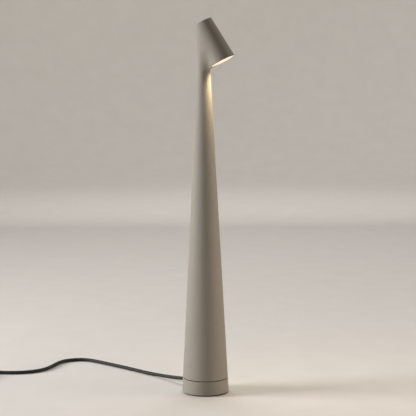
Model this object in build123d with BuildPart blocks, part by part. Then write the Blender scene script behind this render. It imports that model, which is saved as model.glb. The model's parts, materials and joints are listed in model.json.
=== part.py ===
"""Slim cone-shaped reading lamp with a tilted spotlight head, on a swivelling weighted base.

Frame: millimetres, +Z up, origin on the desk under the lamp's axis, head reaching out along +X.
The base ring stands still. The tall cone turns on it, about a hollow pivot tube that carries the lead.
"""

import os
from math import cos, pi, radians, sin, tan

from build123d import *

# ---------------------------------------------------------------- driving dimensions
HEIGHT = 620.0  # desk to the highest point of the head
FOOT_RADIUS = 38.8  # radius of the cone where it would meet the desk
CONE_TAPER = 3.0  # degrees, each side
WALL = 2.0  # die-cast shell
FOOT_GAP = 1.8  # the foot pad lifts the ring by this much
SEAM_BOTTOM = 24.2  # top of the fixed base ring
SEAM_TOP = 25.6  # bottom of the turning cone
NECK_Z = 546.0  # the cone ends and the back starts to lean outwards

HEAD_TILT = 27.8  # degrees between the head's axis and the vertical
HEAD_LENGTH = 71.8
HEAD_TOP_RADIUS = 14.6
HEAD_RIM_RADIUS = 21.0
HEAD_TOP_X = -0.6  # the top disc is centred almost over the lamp's axis
LENS_RADIUS = 20.2  # bore that takes the diffuser
LENS_DEPTH = 3.4

CORD_DIAMETER = 6.0
CORD_LENGTH = 1800.0
INLET_AZIMUTH = 148.0  # where the cord leaves the ring, seen from above
INLET_SLOPE = 7.0  # degrees below the horizontal
INLET_Z = 13.4
GLAND_LENGTH = 20.0
GLAND_INSIDE = 6.2  # the gland's inner flange stands this far inside the ring's outer wall
GLAND_SHANK = 4.0

CLEAR = 0.05  # running clearance of shafts and screws
SCREW_ROOM = 0.2  # a screw's through hole is this much larger than its thread, on the radius
M25_RADIUS = 1.25
M25_HEAD_RADIUS = 2.2
M3_RADIUS = 1.5
M4_RADIUS = 2.0
EDGE_ROUND = 0.5  # broken edges of the ring and the foot pad
BLOCK_ROUND = 1.0  # corners of small moulded blocks

os.makedirs("parts", exist_ok=True)


def save(piece, name):
    """Label a finished piece and write it as its own STEP file."""
    piece.label = name
    export_step(piece, f"parts/{name}.step")


def cone_radius(z):
    """Outer radius of the long cone at height z."""
    return FOOT_RADIUS - z * tan(radians(CONE_TAPER))


def head_radius(v):
    """Outer radius of the head at distance v above its rim."""
    return HEAD_RIM_RADIUS + (HEAD_TOP_RADIUS - HEAD_RIM_RADIUS) * v / HEAD_LENGTH


def polar(radius, azimuth, z=0.0):
    """Point at a radius, an azimuth in degrees and a height about the lamp's axis."""
    return Vector(radius * cos(radians(azimuth)), radius * sin(radians(azimuth)), z)


# The head's own frame: origin at the rim's centre, x to the front, z up and back along its axis.
tilt = radians(HEAD_TILT)
head_up = Vector(-sin(tilt), 0, cos(tilt))
head_front = Vector(cos(tilt), 0, sin(tilt))
head_top = Vector(HEAD_TOP_X, 0, HEIGHT - HEAD_TOP_RADIUS * sin(tilt))
rim_centre = head_top - head_up * HEAD_LENGTH
HEAD = Plane(origin=rim_centre, x_dir=head_front, z_dir=head_up)

# The inlet's frame: origin on the ring's wall, z outwards along the cord.
slope = radians(INLET_SLOPE)
inlet_out = Vector(cos(slope), 0, -sin(slope)).rotate(Axis.Z, INLET_AZIMUTH)
inlet_point = polar(cone_radius(INLET_Z), INLET_AZIMUTH, INLET_Z)
INLET = Plane(origin=inlet_point, x_dir=polar(1, INLET_AZIMUTH + 90), z_dir=inlet_out)
gland_tip = inlet_point + inlet_out * GLAND_LENGTH


def head_plane(v):
    """Plane across the head, v above its rim."""
    return HEAD.offset(v)


# ---------------------------------------------------------------- fixed base
FOOT_PAD_RADIUS = 36.5
BASE_WALL = 3.6
DECK_UNDER = 20.0
PLATE_TOP = 3.8
PLATE_FIT = 0.2  # the bottom plate drops into the ring with this gap
BALLAST_TOP = 9.0
BALLAST_FIT = 0.5
POST_CIRCLE = 29.0
POST_AZIMUTH = INLET_AZIMUTH + 180  # the posts keep clear of the inlet
POST_COUNT = 3
POST_RADIUS = 3.6
POST_ROOM = 0.4
POST_HOLE_DEPTH = 12.0
COUNTERSINK_RADIUS = 3.1
BASE_SCREW_LENGTH = 11.0
BASE_HEAD_RADIUS = 2.9
BASE_HEAD_HEIGHT = 1.4
GLIDE_INSET = 1.3  # the slip ring's edge stays in the seam's shadow
GLIDE_INNER = 30.0
GLIDE_GAP = 0.1
PIVOT_RADIUS = 5.0
PIVOT_BORE = 3.6
STOP_CIRCLE = 21.0
STOP_RADIUS = 1.5
BASE_STOP_LENGTH = 9.6
STOP_CHAMFER = 0.4

with BuildPart() as foot_pad:
    with BuildSketch(Plane.XY):
        Circle(FOOT_PAD_RADIUS)
    extrude(amount=FOOT_GAP)
    fillet(foot_pad.edges().group_by(Axis.Z)[0], EDGE_ROUND)
save(foot_pad.part, "foot_pad")

ring_inner = cone_radius(SEAM_BOTTOM) - BASE_WALL
with BuildPart() as base_ring:
    with BuildSketch(Plane.XZ):
        with BuildLine():
            Polyline(
                (PIVOT_RADIUS + CLEAR, SEAM_BOTTOM),
                (PIVOT_RADIUS + CLEAR, DECK_UNDER),
                (ring_inner, DECK_UNDER),
                (ring_inner, FOOT_GAP),
                (cone_radius(FOOT_GAP), FOOT_GAP),
                (cone_radius(SEAM_BOTTOM), SEAM_BOTTOM),
                close=True,
            )
        make_face()
    revolve(axis=Axis.Z)
    outer_edges = base_ring.edges().filter_by(GeomType.CIRCLE).sort_by(lambda e: e.radius)
    fillet(outer_edges[-2:], EDGE_ROUND)
    with BuildSketch(Plane.XY.offset(PLATE_TOP)):
        with PolarLocations(POST_CIRCLE, POST_COUNT, start_angle=POST_AZIMUTH):
            Circle(POST_RADIUS)
    extrude(until=Until.NEXT)
    with BuildSketch(Plane.XY.offset(PLATE_TOP)):
        with PolarLocations(POST_CIRCLE, POST_COUNT, start_angle=POST_AZIMUTH):
            Circle(M3_RADIUS + CLEAR)
    extrude(amount=POST_HOLE_DEPTH, mode=Mode.SUBTRACT)
    with BuildSketch(INLET.offset(-BASE_WALL * 2)):
        Circle(GLAND_SHANK + CLEAR * 2)
    extrude(amount=BASE_WALL * 3, mode=Mode.SUBTRACT)
    with BuildSketch(Plane.XY.offset(DECK_UNDER)):
        with Locations((STOP_CIRCLE, 0)):
            Circle(STOP_RADIUS)
    extrude(amount=SEAM_BOTTOM - DECK_UNDER, mode=Mode.SUBTRACT)
save(base_ring.part, "base_ring")

with BuildPart() as bottom_plate:
    with BuildSketch(Plane.XY.offset(FOOT_GAP)):
        Circle(ring_inner - PLATE_FIT)
    extrude(amount=PLATE_TOP - FOOT_GAP)
    with Locations(Plane.XY.offset(FOOT_GAP).rotated((180, 0, 0))):
        with PolarLocations(POST_CIRCLE, POST_COUNT, start_angle=-POST_AZIMUTH):
            CounterSinkHole(M3_RADIUS + SCREW_ROOM, COUNTERSINK_RADIUS, depth=PLATE_TOP)
save(bottom_plate.part, "bottom_plate")

with BuildPart() as base_screws:
    with Locations(Plane.XY.offset(FOOT_GAP).rotated((180, 0, 0))):
        with PolarLocations(POST_CIRCLE, POST_COUNT, start_angle=-POST_AZIMUTH):
            with Locations((0, 0, -BASE_SCREW_LENGTH / 2)):
                Cylinder(M3_RADIUS, BASE_SCREW_LENGTH)
            with Locations((0, 0, -BASE_HEAD_HEIGHT / 2)):
                Cone(M3_RADIUS, BASE_HEAD_RADIUS, BASE_HEAD_HEIGHT)
save(base_screws.part, "base_screws")

with BuildPart() as ballast_disc:
    with BuildSketch(Plane.XY.offset(PLATE_TOP)):
        Circle(ring_inner - BALLAST_FIT)
        with PolarLocations(POST_CIRCLE, POST_COUNT, start_angle=POST_AZIMUTH):
            Circle(POST_RADIUS + POST_ROOM, mode=Mode.SUBTRACT)
    extrude(amount=BALLAST_TOP - PLATE_TOP)
save(ballast_disc.part, "ballast_disc")

with BuildPart() as glide_ring:
    with BuildSketch(Plane.XY.offset(SEAM_BOTTOM)):
        Circle(cone_radius(SEAM_TOP) - GLIDE_INSET)
        Circle(GLIDE_INNER, mode=Mode.SUBTRACT)
    extrude(amount=SEAM_TOP - SEAM_BOTTOM - GLIDE_GAP)
save(glide_ring.part, "glide_ring")

with BuildPart() as base_stop_pin:
    with BuildSketch(Plane.XY.offset(DECK_UNDER)):
        with Locations((STOP_CIRCLE, 0)):
            Circle(STOP_RADIUS)
    extrude(amount=BASE_STOP_LENGTH)
    chamfer(base_stop_pin.edges().group_by(Axis.Z)[-1], STOP_CHAMFER)
save(base_stop_pin.part, "base_stop_pin")

# ---------------------------------------------------------------- pivot
TUBE_BOTTOM = 15.0
TUBE_TOP = 46.0
BUSH_TOP = 37.5
HUB_POCKET_Z = 36.0
NUT_FLATS = 14.0
NUT_HEIGHT = 4.0
TUBE_CHAMFER = 0.3
THRUST_BOTTOM = BUSH_TOP + 0.1
THRUST_RADIUS = 10.5
THRUST_HEIGHT = 1.0
WAVE_RADIUS = 9.5
WAVE_HEIGHT = 1.4

with BuildPart() as pivot_tube:
    with BuildSketch(Plane.XY.offset(TUBE_BOTTOM)):
        Circle(PIVOT_RADIUS)
        Circle(PIVOT_BORE, mode=Mode.SUBTRACT)
    extrude(amount=TUBE_TOP - TUBE_BOTTOM)
    chamfer(pivot_tube.edges().filter_by(GeomType.CIRCLE), TUBE_CHAMFER)
save(pivot_tube.part, "pivot_tube")


def hex_nut(bottom):
    """Thin hexagon nut for the pivot tube, standing on height bottom."""
    with BuildPart() as nut:
        with BuildSketch(Plane.XY.offset(bottom)):
            RegularPolygon(NUT_FLATS / 2, 6, major_radius=False)
            Circle(PIVOT_RADIUS + CLEAR, mode=Mode.SUBTRACT)
        extrude(amount=NUT_HEIGHT)
    return nut.part


def flat_washer(bottom, radius, height):
    """Plain ring round the pivot tube."""
    with BuildPart() as washer:
        with BuildSketch(Plane.XY.offset(bottom)):
            Circle(radius)
            Circle(PIVOT_RADIUS + CLEAR, mode=Mode.SUBTRACT)
        extrude(amount=height)
    return washer.part


save(hex_nut(DECK_UNDER - NUT_HEIGHT), "pivot_nut_lower")
save(flat_washer(THRUST_BOTTOM, THRUST_RADIUS, THRUST_HEIGHT), "thrust_washer")
save(flat_washer(THRUST_BOTTOM + THRUST_HEIGHT, WAVE_RADIUS, WAVE_HEIGHT), "wave_washer")
save(hex_nut(THRUST_BOTTOM + THRUST_HEIGHT + WAVE_HEIGHT), "pivot_nut_upper")

# ---------------------------------------------------------------- mains inlet inside the base
GLAND_FLANGE_RADIUS = 4.8
GLAND_FLANGE = 1.5
GLAND_OVERLAP = 2.0  # the shank runs this far into the sleeve
SLEEVE_START = 1.6  # the tapered sleeve begins this far outside the ring
SLEEVE_ROOT_RADIUS = 5.0
SLEEVE_TIP_RADIUS = 3.55
TERMINAL_INNER = 12.0
TERMINAL_OUTER = 23.0
TERMINAL_TOP = 19.0
TERMINAL_WIDTH = 15.0
TERMINAL_SCREW_X = TERMINAL_INNER + 3.0
TERMINAL_SCREW_Y = 4.0
TERMINAL_SCREW_RADIUS = 1.6
TERMINAL_SCREW_DEPTH = 4.0
STRIPPED_WIDTH = 20.0  # the space over the terminal block where the lead's jacket is stripped
STRIPPED_HEIGHT = 12.0
CLAMP_INNER = 25.0
CLAMP_OUTER = 31.0
CLAMP_MIDDLE = (CLAMP_INNER + CLAMP_OUTER) / 2
CLAMP_WIDTH = 17.0
CLAMP_HEIGHT = 9.6
CLAMP_BORE_LENGTH = 14.0
CLAMP_SCREW_Y = 6.0
CLAMP_SCREWS = ((CLAMP_MIDDLE, CLAMP_SCREW_Y), (CLAMP_MIDDLE, -CLAMP_SCREW_Y))
CLAMP_SCREW_FOOT = 1.0  # its screws end this far above the ballast
CLAMP_HEAD_HEIGHT = 1.2
CORD_RADIUS = CORD_DIAMETER / 2
SUPPLY_RADIUS = 2.0
SUPPLY_Z = BALLAST_TOP + SUPPLY_RADIUS + 0.3
inlet_frame = Plane(origin=(0, 0, BALLAST_TOP), x_dir=polar(1, INLET_AZIMUTH), z_dir=(0, 0, 1))

with BuildPart() as cord_gland:
    with BuildSketch(INLET.offset(-GLAND_INSIDE)):
        Circle(GLAND_SHANK)
    extrude(amount=GLAND_INSIDE + GLAND_OVERLAP)
    with BuildSketch(INLET.offset(-GLAND_INSIDE)):
        Circle(GLAND_FLANGE_RADIUS)
    extrude(amount=GLAND_FLANGE)
    with BuildSketch(INLET.offset(SLEEVE_START)):
        Circle(SLEEVE_ROOT_RADIUS)
    with BuildSketch(INLET.offset(GLAND_LENGTH)):
        Circle(SLEEVE_TIP_RADIUS)
    loft()
    with BuildSketch(INLET.offset(-GLAND_INSIDE)):
        Circle(CORD_RADIUS + CLEAR)
    extrude(amount=GLAND_LENGTH + GLAND_INSIDE, mode=Mode.SUBTRACT)
save(cord_gland.part, "cord_gland")

inlet_run = (cone_radius(INLET_Z) - TERMINAL_OUTER) / cos(slope)
with BuildPart() as inlet_lead:
    with BuildSketch(INLET.offset(-inlet_run)):
        Circle(CORD_RADIUS)
    extrude(amount=inlet_run + GLAND_LENGTH)
    with BuildSketch(inlet_frame):
        Rectangle(2 * TERMINAL_OUTER, STRIPPED_WIDTH)
    extrude(amount=STRIPPED_HEIGHT, mode=Mode.SUBTRACT)
save(inlet_lead.part, "inlet_lead")

with BuildPart() as cord_clamp:
    with BuildSketch(inlet_frame):
        with Locations((CLAMP_MIDDLE, 0)):
            RectangleRounded(CLAMP_OUTER - CLAMP_INNER, CLAMP_WIDTH, BLOCK_ROUND)
    extrude(amount=CLAMP_HEIGHT)
    with BuildSketch(INLET.offset(-BASE_WALL - CLAMP_BORE_LENGTH)):
        Circle(CORD_RADIUS + CLEAR)
    extrude(amount=CLAMP_BORE_LENGTH, mode=Mode.SUBTRACT)
    with BuildSketch(inlet_frame):
        with Locations(*CLAMP_SCREWS):
            Circle(M25_RADIUS + CLEAR)
    extrude(amount=CLAMP_HEIGHT, mode=Mode.SUBTRACT)
save(cord_clamp.part, "cord_clamp")

with BuildPart() as clamp_screws:
    with BuildSketch(inlet_frame.offset(CLAMP_SCREW_FOOT)):
        with Locations(*CLAMP_SCREWS):
            Circle(M25_RADIUS)
    extrude(amount=CLAMP_HEIGHT - CLAMP_SCREW_FOOT)
    with BuildSketch(inlet_frame.offset(CLAMP_HEIGHT)):
        with Locations(*CLAMP_SCREWS):
            Circle(M25_HEAD_RADIUS)
    extrude(amount=CLAMP_HEAD_HEIGHT)
save(clamp_screws.part, "clamp_screws")

with BuildPart() as terminal_block:
    with BuildSketch(inlet_frame):
        with Locations(((TERMINAL_INNER + TERMINAL_OUTER) / 2, 0)):
            RectangleRounded(TERMINAL_OUTER - TERMINAL_INNER, TERMINAL_WIDTH, BLOCK_ROUND)
    extrude(amount=TERMINAL_TOP - BALLAST_TOP)
    with BuildSketch(inlet_frame.offset(TERMINAL_TOP - BALLAST_TOP)):
        with Locations((TERMINAL_SCREW_X, TERMINAL_SCREW_Y), (TERMINAL_SCREW_X, -TERMINAL_SCREW_Y)):
            Circle(TERMINAL_SCREW_RADIUS)
    extrude(amount=-TERMINAL_SCREW_DEPTH, mode=Mode.SUBTRACT)
save(terminal_block.part, "terminal_block")

# ---------------------------------------------------------------- turning cone: hub, bush and screws
HUB_TOP = 44.0
HUB_FIT = 0.15
HUB_POCKET_RADIUS = 13.0
HUB_SCREW_CIRCLE = 30.0
HUB_SCREW_COUNT = 3
HUB_SCREW_AZIMUTH = 60.0
HUB_SCREW_RECESS = 0.2  # the screw heads end this far above the hub's underside
HUB_SCREW_SHORT = 1.5  # and the threads this far below the ledge's top
COUNTERBORE_RADIUS = 3.9
M4_HEAD_RADIUS = 3.5
M4_HEAD_HEIGHT = 4.0
M4_SOCKET_RADIUS = 1.6
M4_SOCKET_DEPTH = 2.0
LEDGE_TOP = 50.0
LEDGE_INNER = 26.0
BUSH_RADIUS = 8.0
BUSH_FIT = 0.02
BUSH_FLANGE_RADIUS = 11.0
GROOVE_TOP = 31.0
GROOVE_HALF = 4.0  # half the width of the groove that the stop pins share
STOP_SOCKET = 6.0  # the turning stop pin is pressed this far into the hub
STOP_RECESS = 0.6


def bore_radius(z):
    """Inner radius of the cone's shell at height z."""
    return cone_radius(z) - WALL / cos(radians(CONE_TAPER))


with BuildPart() as hub_weight:
    with BuildSketch(Plane.XZ):
        with BuildLine():
            Polyline(
                (BUSH_RADIUS + BUSH_FIT, SEAM_TOP),
                (STOP_CIRCLE - GROOVE_HALF, SEAM_TOP),
                (STOP_CIRCLE - GROOVE_HALF, GROOVE_TOP),
                (STOP_CIRCLE + GROOVE_HALF, GROOVE_TOP),
                (STOP_CIRCLE + GROOVE_HALF, SEAM_TOP),
                (bore_radius(SEAM_TOP) - HUB_FIT, SEAM_TOP),
                (bore_radius(HUB_TOP) - HUB_FIT, HUB_TOP),
                (HUB_POCKET_RADIUS, HUB_TOP),
                (HUB_POCKET_RADIUS, HUB_POCKET_Z),
                (BUSH_RADIUS + BUSH_FIT, HUB_POCKET_Z),
                close=True,
            )
        make_face()
    revolve(axis=Axis.Z)
    with BuildSketch(Plane.XY.offset(SEAM_TOP)):
        with PolarLocations(HUB_SCREW_CIRCLE, HUB_SCREW_COUNT, start_angle=HUB_SCREW_AZIMUTH):
            Circle(M4_RADIUS + SCREW_ROOM)
    extrude(amount=HUB_TOP - SEAM_TOP, mode=Mode.SUBTRACT)
    with BuildSketch(Plane.XY.offset(SEAM_TOP)):
        with PolarLocations(HUB_SCREW_CIRCLE, HUB_SCREW_COUNT, start_angle=HUB_SCREW_AZIMUTH):
            Circle(COUNTERBORE_RADIUS)
    extrude(amount=HUB_SCREW_RECESS + M4_HEAD_HEIGHT, mode=Mode.SUBTRACT)
    with BuildSketch(Plane.XY.offset(GROOVE_TOP)):
        with Locations((-STOP_CIRCLE, 0)):
            Circle(STOP_RADIUS)
    extrude(amount=STOP_SOCKET, mode=Mode.SUBTRACT)
save(hub_weight.part, "hub_weight")

with BuildPart() as pivot_bush:
    with BuildSketch(Plane.XY.offset(SEAM_TOP)):
        Circle(BUSH_RADIUS)
    extrude(amount=HUB_POCKET_Z - SEAM_TOP)
    with BuildSketch(Plane.XY.offset(HUB_POCKET_Z)):
        Circle(BUSH_FLANGE_RADIUS)
    extrude(amount=BUSH_TOP - HUB_POCKET_Z)
    with BuildSketch(Plane.XY.offset(SEAM_TOP)):
        Circle(PIVOT_RADIUS + CLEAR)
    extrude(amount=BUSH_TOP - SEAM_TOP, mode=Mode.SUBTRACT)
save(pivot_bush.part, "pivot_bush")

with BuildPart() as body_stop_pin:
    with BuildSketch(Plane.XY.offset(SEAM_TOP + STOP_RECESS)):
        with Locations((-STOP_CIRCLE, 0)):
            Circle(STOP_RADIUS)
    extrude(amount=GROOVE_TOP + STOP_SOCKET - SEAM_TOP - STOP_RECESS)
    chamfer(body_stop_pin.edges().group_by(Axis.Z)[0], STOP_CHAMFER)
save(body_stop_pin.part, "body_stop_pin")

head_bottom = SEAM_TOP + HUB_SCREW_RECESS
head_end = head_bottom + M4_HEAD_HEIGHT
with BuildPart() as hub_screws:
    with BuildSketch(Plane.XY.offset(head_bottom)):
        with PolarLocations(HUB_SCREW_CIRCLE, HUB_SCREW_COUNT, start_angle=HUB_SCREW_AZIMUTH):
            Circle(M4_HEAD_RADIUS)
    extrude(amount=M4_HEAD_HEIGHT)
    with BuildSketch(Plane.XY.offset(head_end)):
        with PolarLocations(HUB_SCREW_CIRCLE, HUB_SCREW_COUNT, start_angle=HUB_SCREW_AZIMUTH):
            Circle(M4_RADIUS)
    extrude(amount=LEDGE_TOP - HUB_SCREW_SHORT - head_end)
    with BuildSketch(Plane.XY.offset(head_bottom)):
        with PolarLocations(HUB_SCREW_CIRCLE, HUB_SCREW_COUNT, start_angle=HUB_SCREW_AZIMUTH):
            RegularPolygon(M4_SOCKET_RADIUS, 6)
    extrude(amount=M4_SOCKET_DEPTH, mode=Mode.SUBTRACT)
save(hub_screws.part, "hub_screws")

# ---------------------------------------------------------------- one-piece shell: cone, neck and head
NECK_BORE_TOP = 580.0
CAVITY_TOP = 68.5
TOP_ROUND = 0.6
WIRE_V = 22.1  # height of the lamp lead above the rim, in the head
WIRE_HOLE_START = -24.0
WIRE_HOLE_LENGTH = 14.0
WIRE_HOLE_RADIUS = 3.5
TRAY_SCREW_CIRCLE = 29.0
TRAY_SCREW_COUNT = 3
BACK_INSET = 0.3  # keeps the leaning back just inside the head's top disc
NECK_BLEND = 3.0  # rounding where the head grows out of the neck

with BuildPart() as lamp_body:
    with BuildSketch(Plane.XY.offset(SEAM_TOP)):
        Circle(cone_radius(SEAM_TOP))
    with BuildSketch(Plane.XY.offset(NECK_Z)):
        Circle(cone_radius(NECK_Z))
    loft()
    # the back of the neck leans outwards to meet the back of the head's top disc
    with BuildSketch(Plane.XY.offset(NECK_Z)):
        Circle(cone_radius(NECK_Z))
    with BuildSketch(head_plane(HEAD_LENGTH - 2 * BACK_INSET)):
        Circle(HEAD_TOP_RADIUS - BACK_INSET)
    loft(ruled=True)
    with BuildSketch(head_plane(0)):
        Circle(HEAD_RIM_RADIUS)
    with BuildSketch(head_plane(HEAD_LENGTH)):
        Circle(HEAD_TOP_RADIUS)
    loft()
    fillet(lamp_body.edges().filter_by(GeomType.BSPLINE), NECK_BLEND)
    fillet(lamp_body.edges().filter_by(GeomType.CIRCLE).sort_by(Axis.Z)[-1], TOP_ROUND)
    # the hollow of the cone, with a ledge that the hub is screwed to
    with BuildSketch(Plane.XY.offset(SEAM_TOP)):
        Circle(bore_radius(SEAM_TOP))
    with BuildSketch(Plane.XY.offset(HUB_TOP)):
        Circle(bore_radius(HUB_TOP))
    loft(mode=Mode.SUBTRACT)
    with BuildSketch(Plane.XY.offset(HUB_TOP)):
        Circle(LEDGE_INNER)
    extrude(amount=LEDGE_TOP - HUB_TOP, mode=Mode.SUBTRACT)
    with BuildSketch(Plane.XY.offset(LEDGE_TOP)):
        Circle(bore_radius(LEDGE_TOP))
    with BuildSketch(Plane.XY.offset(NECK_BORE_TOP)):
        Circle(bore_radius(NECK_BORE_TOP))
    loft(mode=Mode.SUBTRACT)
    # screw holes in the ledge, from below and from above
    with BuildSketch(Plane.XY.offset(HUB_TOP)):
        with PolarLocations(HUB_SCREW_CIRCLE, HUB_SCREW_COUNT, start_angle=HUB_SCREW_AZIMUTH):
            Circle(M4_RADIUS + CLEAR)
        with PolarLocations(TRAY_SCREW_CIRCLE, TRAY_SCREW_COUNT):
            Circle(M3_RADIUS + CLEAR)
    extrude(amount=LEDGE_TOP - HUB_TOP, mode=Mode.SUBTRACT)
    # the head's chamber, the bore for the diffuser and the way in for the wires
    with BuildSketch(head_plane(LENS_DEPTH)):
        Circle(head_radius(LENS_DEPTH) - WALL)
    with BuildSketch(head_plane(CAVITY_TOP)):
        Circle(head_radius(CAVITY_TOP) - WALL)
    loft(mode=Mode.SUBTRACT)
    with BuildSketch(head_plane(0)):
        Circle(LENS_RADIUS)
    extrude(amount=LENS_DEPTH, mode=Mode.SUBTRACT)
    with BuildSketch(Plane(HEAD.from_local_coords(Vector(WIRE_HOLE_START, 0, WIRE_V)), z_dir=head_front)):
        Circle(WIRE_HOLE_RADIUS)
    extrude(amount=WIRE_HOLE_LENGTH, mode=Mode.SUBTRACT)
save(lamp_body.part, "lamp_body")

# ---------------------------------------------------------------- driver in the cone
TRAY_TOP = 52.0
CASE_RADIUS = 20.0
CASE_HEIGHT = 62.0
CASE_TOP = TRAY_TOP + CASE_HEIGHT
CASE_WALL = 1.6
TRAY_RADIUS = 32.5
TRAY_SCREW_FOOT = HUB_TOP + 0.5
TRAY_HEAD_RADIUS = 2.8
TRAY_HEAD_HEIGHT = 1.8
LEAD_HOLE_RADIUS = 4.0
LEAD_RADIUS = 1.6
LEAD_ROOM = 0.4
LID_HEIGHT = 2.0
LID_SKIRT = 3.0
LID_FIT = 0.1
BOARD_Y = 4.2
BOARD_WIDTH = 32.0
BOARD_HEIGHT = 50.0
BOARD_MIDDLE = TRAY_TOP + 30.0
BOARD_THICKNESS = 1.6
BOARD_ROUND = 1.5
INPUT_Z = TRAY_TOP + 8.0
INPUT_WIDTH = 10.0
INPUT_HEIGHT = 9.0
OUTPUT_Z = TRAY_TOP + 45.0
OUTPUT_WIDTH = 8.0
OUTPUT_HEIGHT = 8.0
TRANSFORMER_WIDTH = 15.0
TRANSFORMER_HEIGHT = 17.0
TRANSFORMER_DEPTH = 13.0
TRANSFORMER_MIDDLE = TRAY_TOP + 31.0
TRANSFORMER_ROUND = 0.8
CAPACITOR_RADIUS = 3.6
CAPACITOR_LENGTH = 12.0
CAPACITOR_X = 11.5
CAPACITOR_LOW = TRAY_TOP + 15.0
CAPACITOR_HIGH = TRAY_TOP + 46.0
CAPACITOR_ROUND = 0.6

with BuildPart() as driver_tray:
    with BuildSketch(Plane.XY.offset(LEDGE_TOP)):
        Circle(TRAY_RADIUS)
        Circle(LEAD_HOLE_RADIUS, mode=Mode.SUBTRACT)
        with PolarLocations(TRAY_SCREW_CIRCLE, TRAY_SCREW_COUNT):
            Circle(M3_RADIUS + SCREW_ROOM, mode=Mode.SUBTRACT)
    extrude(amount=TRAY_TOP - LEDGE_TOP)
save(driver_tray.part, "driver_tray")

with BuildPart() as tray_screws:
    with BuildSketch(Plane.XY.offset(TRAY_SCREW_FOOT)):
        with PolarLocations(TRAY_SCREW_CIRCLE, TRAY_SCREW_COUNT):
            Circle(M3_RADIUS)
    extrude(amount=TRAY_TOP - TRAY_SCREW_FOOT)
    with BuildSketch(Plane.XY.offset(TRAY_TOP)):
        with PolarLocations(TRAY_SCREW_CIRCLE, TRAY_SCREW_COUNT):
            Circle(TRAY_HEAD_RADIUS)
    extrude(amount=TRAY_HEAD_HEIGHT)
save(tray_screws.part, "tray_screws")

with BuildPart() as driver_case:
    with BuildSketch(Plane.XY.offset(TRAY_TOP)):
        Circle(CASE_RADIUS)
    extrude(amount=CASE_HEIGHT)
    with BuildSketch(Plane.XY.offset(TRAY_TOP + CASE_WALL)):
        Circle(CASE_RADIUS - CASE_WALL)
    extrude(amount=CASE_HEIGHT - CASE_WALL, mode=Mode.SUBTRACT)
    with BuildSketch(Plane.XY.offset(TRAY_TOP)):
        Circle(LEAD_HOLE_RADIUS)
    extrude(amount=CASE_WALL, mode=Mode.SUBTRACT)
save(driver_case.part, "driver_case")

with BuildPart() as driver_lid:
    with BuildSketch(Plane.XY.offset(CASE_TOP)):
        Circle(CASE_RADIUS)
    extrude(amount=LID_HEIGHT)
    with BuildSketch(Plane.XY.offset(CASE_TOP - LID_SKIRT)):
        Circle(CASE_RADIUS - CASE_WALL - LID_FIT)
        Circle(CASE_RADIUS - 2 * CASE_WALL, mode=Mode.SUBTRACT)
    extrude(amount=LID_SKIRT)
    with BuildSketch(Plane.XY.offset(CASE_TOP)):
        Circle(LEAD_RADIUS + LEAD_ROOM)
    extrude(amount=LID_HEIGHT, mode=Mode.SUBTRACT)
save(driver_lid.part, "driver_lid")

with BuildPart() as driver_board:
    with BuildSketch(Plane.XZ.offset(-BOARD_Y)):
        with Locations((0, BOARD_MIDDLE)):
            RectangleRounded(BOARD_WIDTH, BOARD_HEIGHT, BOARD_ROUND)
    extrude(amount=-BOARD_THICKNESS)
save(driver_board.part, "driver_board")

with BuildPart() as input_terminal:
    with BuildSketch(Plane.XY.offset(INPUT_Z)):
        Rectangle(INPUT_WIDTH, 2 * BOARD_Y)
    extrude(amount=INPUT_HEIGHT)
save(input_terminal.part, "input_terminal")

with BuildPart() as output_terminal:
    with BuildSketch(Plane.XY.offset(OUTPUT_Z)):
        Rectangle(OUTPUT_WIDTH, 2 * BOARD_Y)
    extrude(amount=OUTPUT_HEIGHT)
save(output_terminal.part, "output_terminal")

with BuildPart() as transformer:
    with BuildSketch(Plane.XZ.offset(-BOARD_Y)):
        with Locations((0, TRANSFORMER_MIDDLE)):
            RectangleRounded(TRANSFORMER_WIDTH, TRANSFORMER_HEIGHT, BLOCK_ROUND)
    extrude(amount=TRANSFORMER_DEPTH)
    fillet(transformer.edges().filter_by(Axis.X), TRANSFORMER_ROUND)
save(transformer.part, "transformer")

with BuildPart() as capacitors:
    with BuildSketch(Plane.XZ.offset(-BOARD_Y)):
        with Locations(
            (-CAPACITOR_X, CAPACITOR_LOW),
            (CAPACITOR_X, CAPACITOR_LOW),
            (CAPACITOR_X, CAPACITOR_HIGH),
        ):
            Circle(CAPACITOR_RADIUS)
    extrude(amount=CAPACITOR_LENGTH)
    fillet(capacitors.edges().filter_by(GeomType.CIRCLE).group_by(Axis.Y)[0], CAPACITOR_ROUND)
save(capacitors.part, "capacitors")

# ---------------------------------------------------------------- spotlight head, from its own frame
BOARD_V = 18.0
SINK_V = 19.6
SINK_TOP = 50.0
SINK_FIT = 0.2
SINK_HOLE_DEPTH = 6.0
FIN_PITCH = 4.2
SLOT_COUNT = 6
SLOT_WIDTH = 2.0
SLOT_LENGTH = 34.0
SLOT_DEPTH = 18.0
CONNECTOR_FRONT = -6.0
CONNECTOR_BACK = -11.5
CONNECTOR_WIDTH = 7.0
CONNECTOR_HEIGHT = 5.0
RECESS_MIDDLE = CONNECTOR_FRONT - 8.0  # the sink is cut away over the connector and the lead
RECESS_LENGTH = 17.0
RECESS_WIDTH = 9.0
RECESS_HEIGHT = 8.0
LED_BOARD_RADIUS = 12.5
LED_SCREW_Y = 9.0
LED_SCREWS = ((0, LED_SCREW_Y), (0, -LED_SCREW_Y))
LED_SCREW_LENGTH = 7.0
LED_HEAD_HEIGHT = 1.0
CHIP_RADIUS = 5.0
CHIP_HEIGHT = 0.8
REFLECTOR_TOP = BOARD_V - 1.2
REFLECTOR_MOUTH = 18.2
REFLECTOR_THROAT = 7.2
REFLECTOR_WALL = 1.0
SEAL_V = 2.8
SEAL_FIT = 0.1
SEAL_INNER = 17.4
LENS_INSET = 0.4  # the diffuser sits this far inside the rim
LENS_FIT = 0.15
LENS_ROUND = 0.3
SENSOR_RADIUS = 9.0
SENSOR_HEIGHT = 0.8

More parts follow.
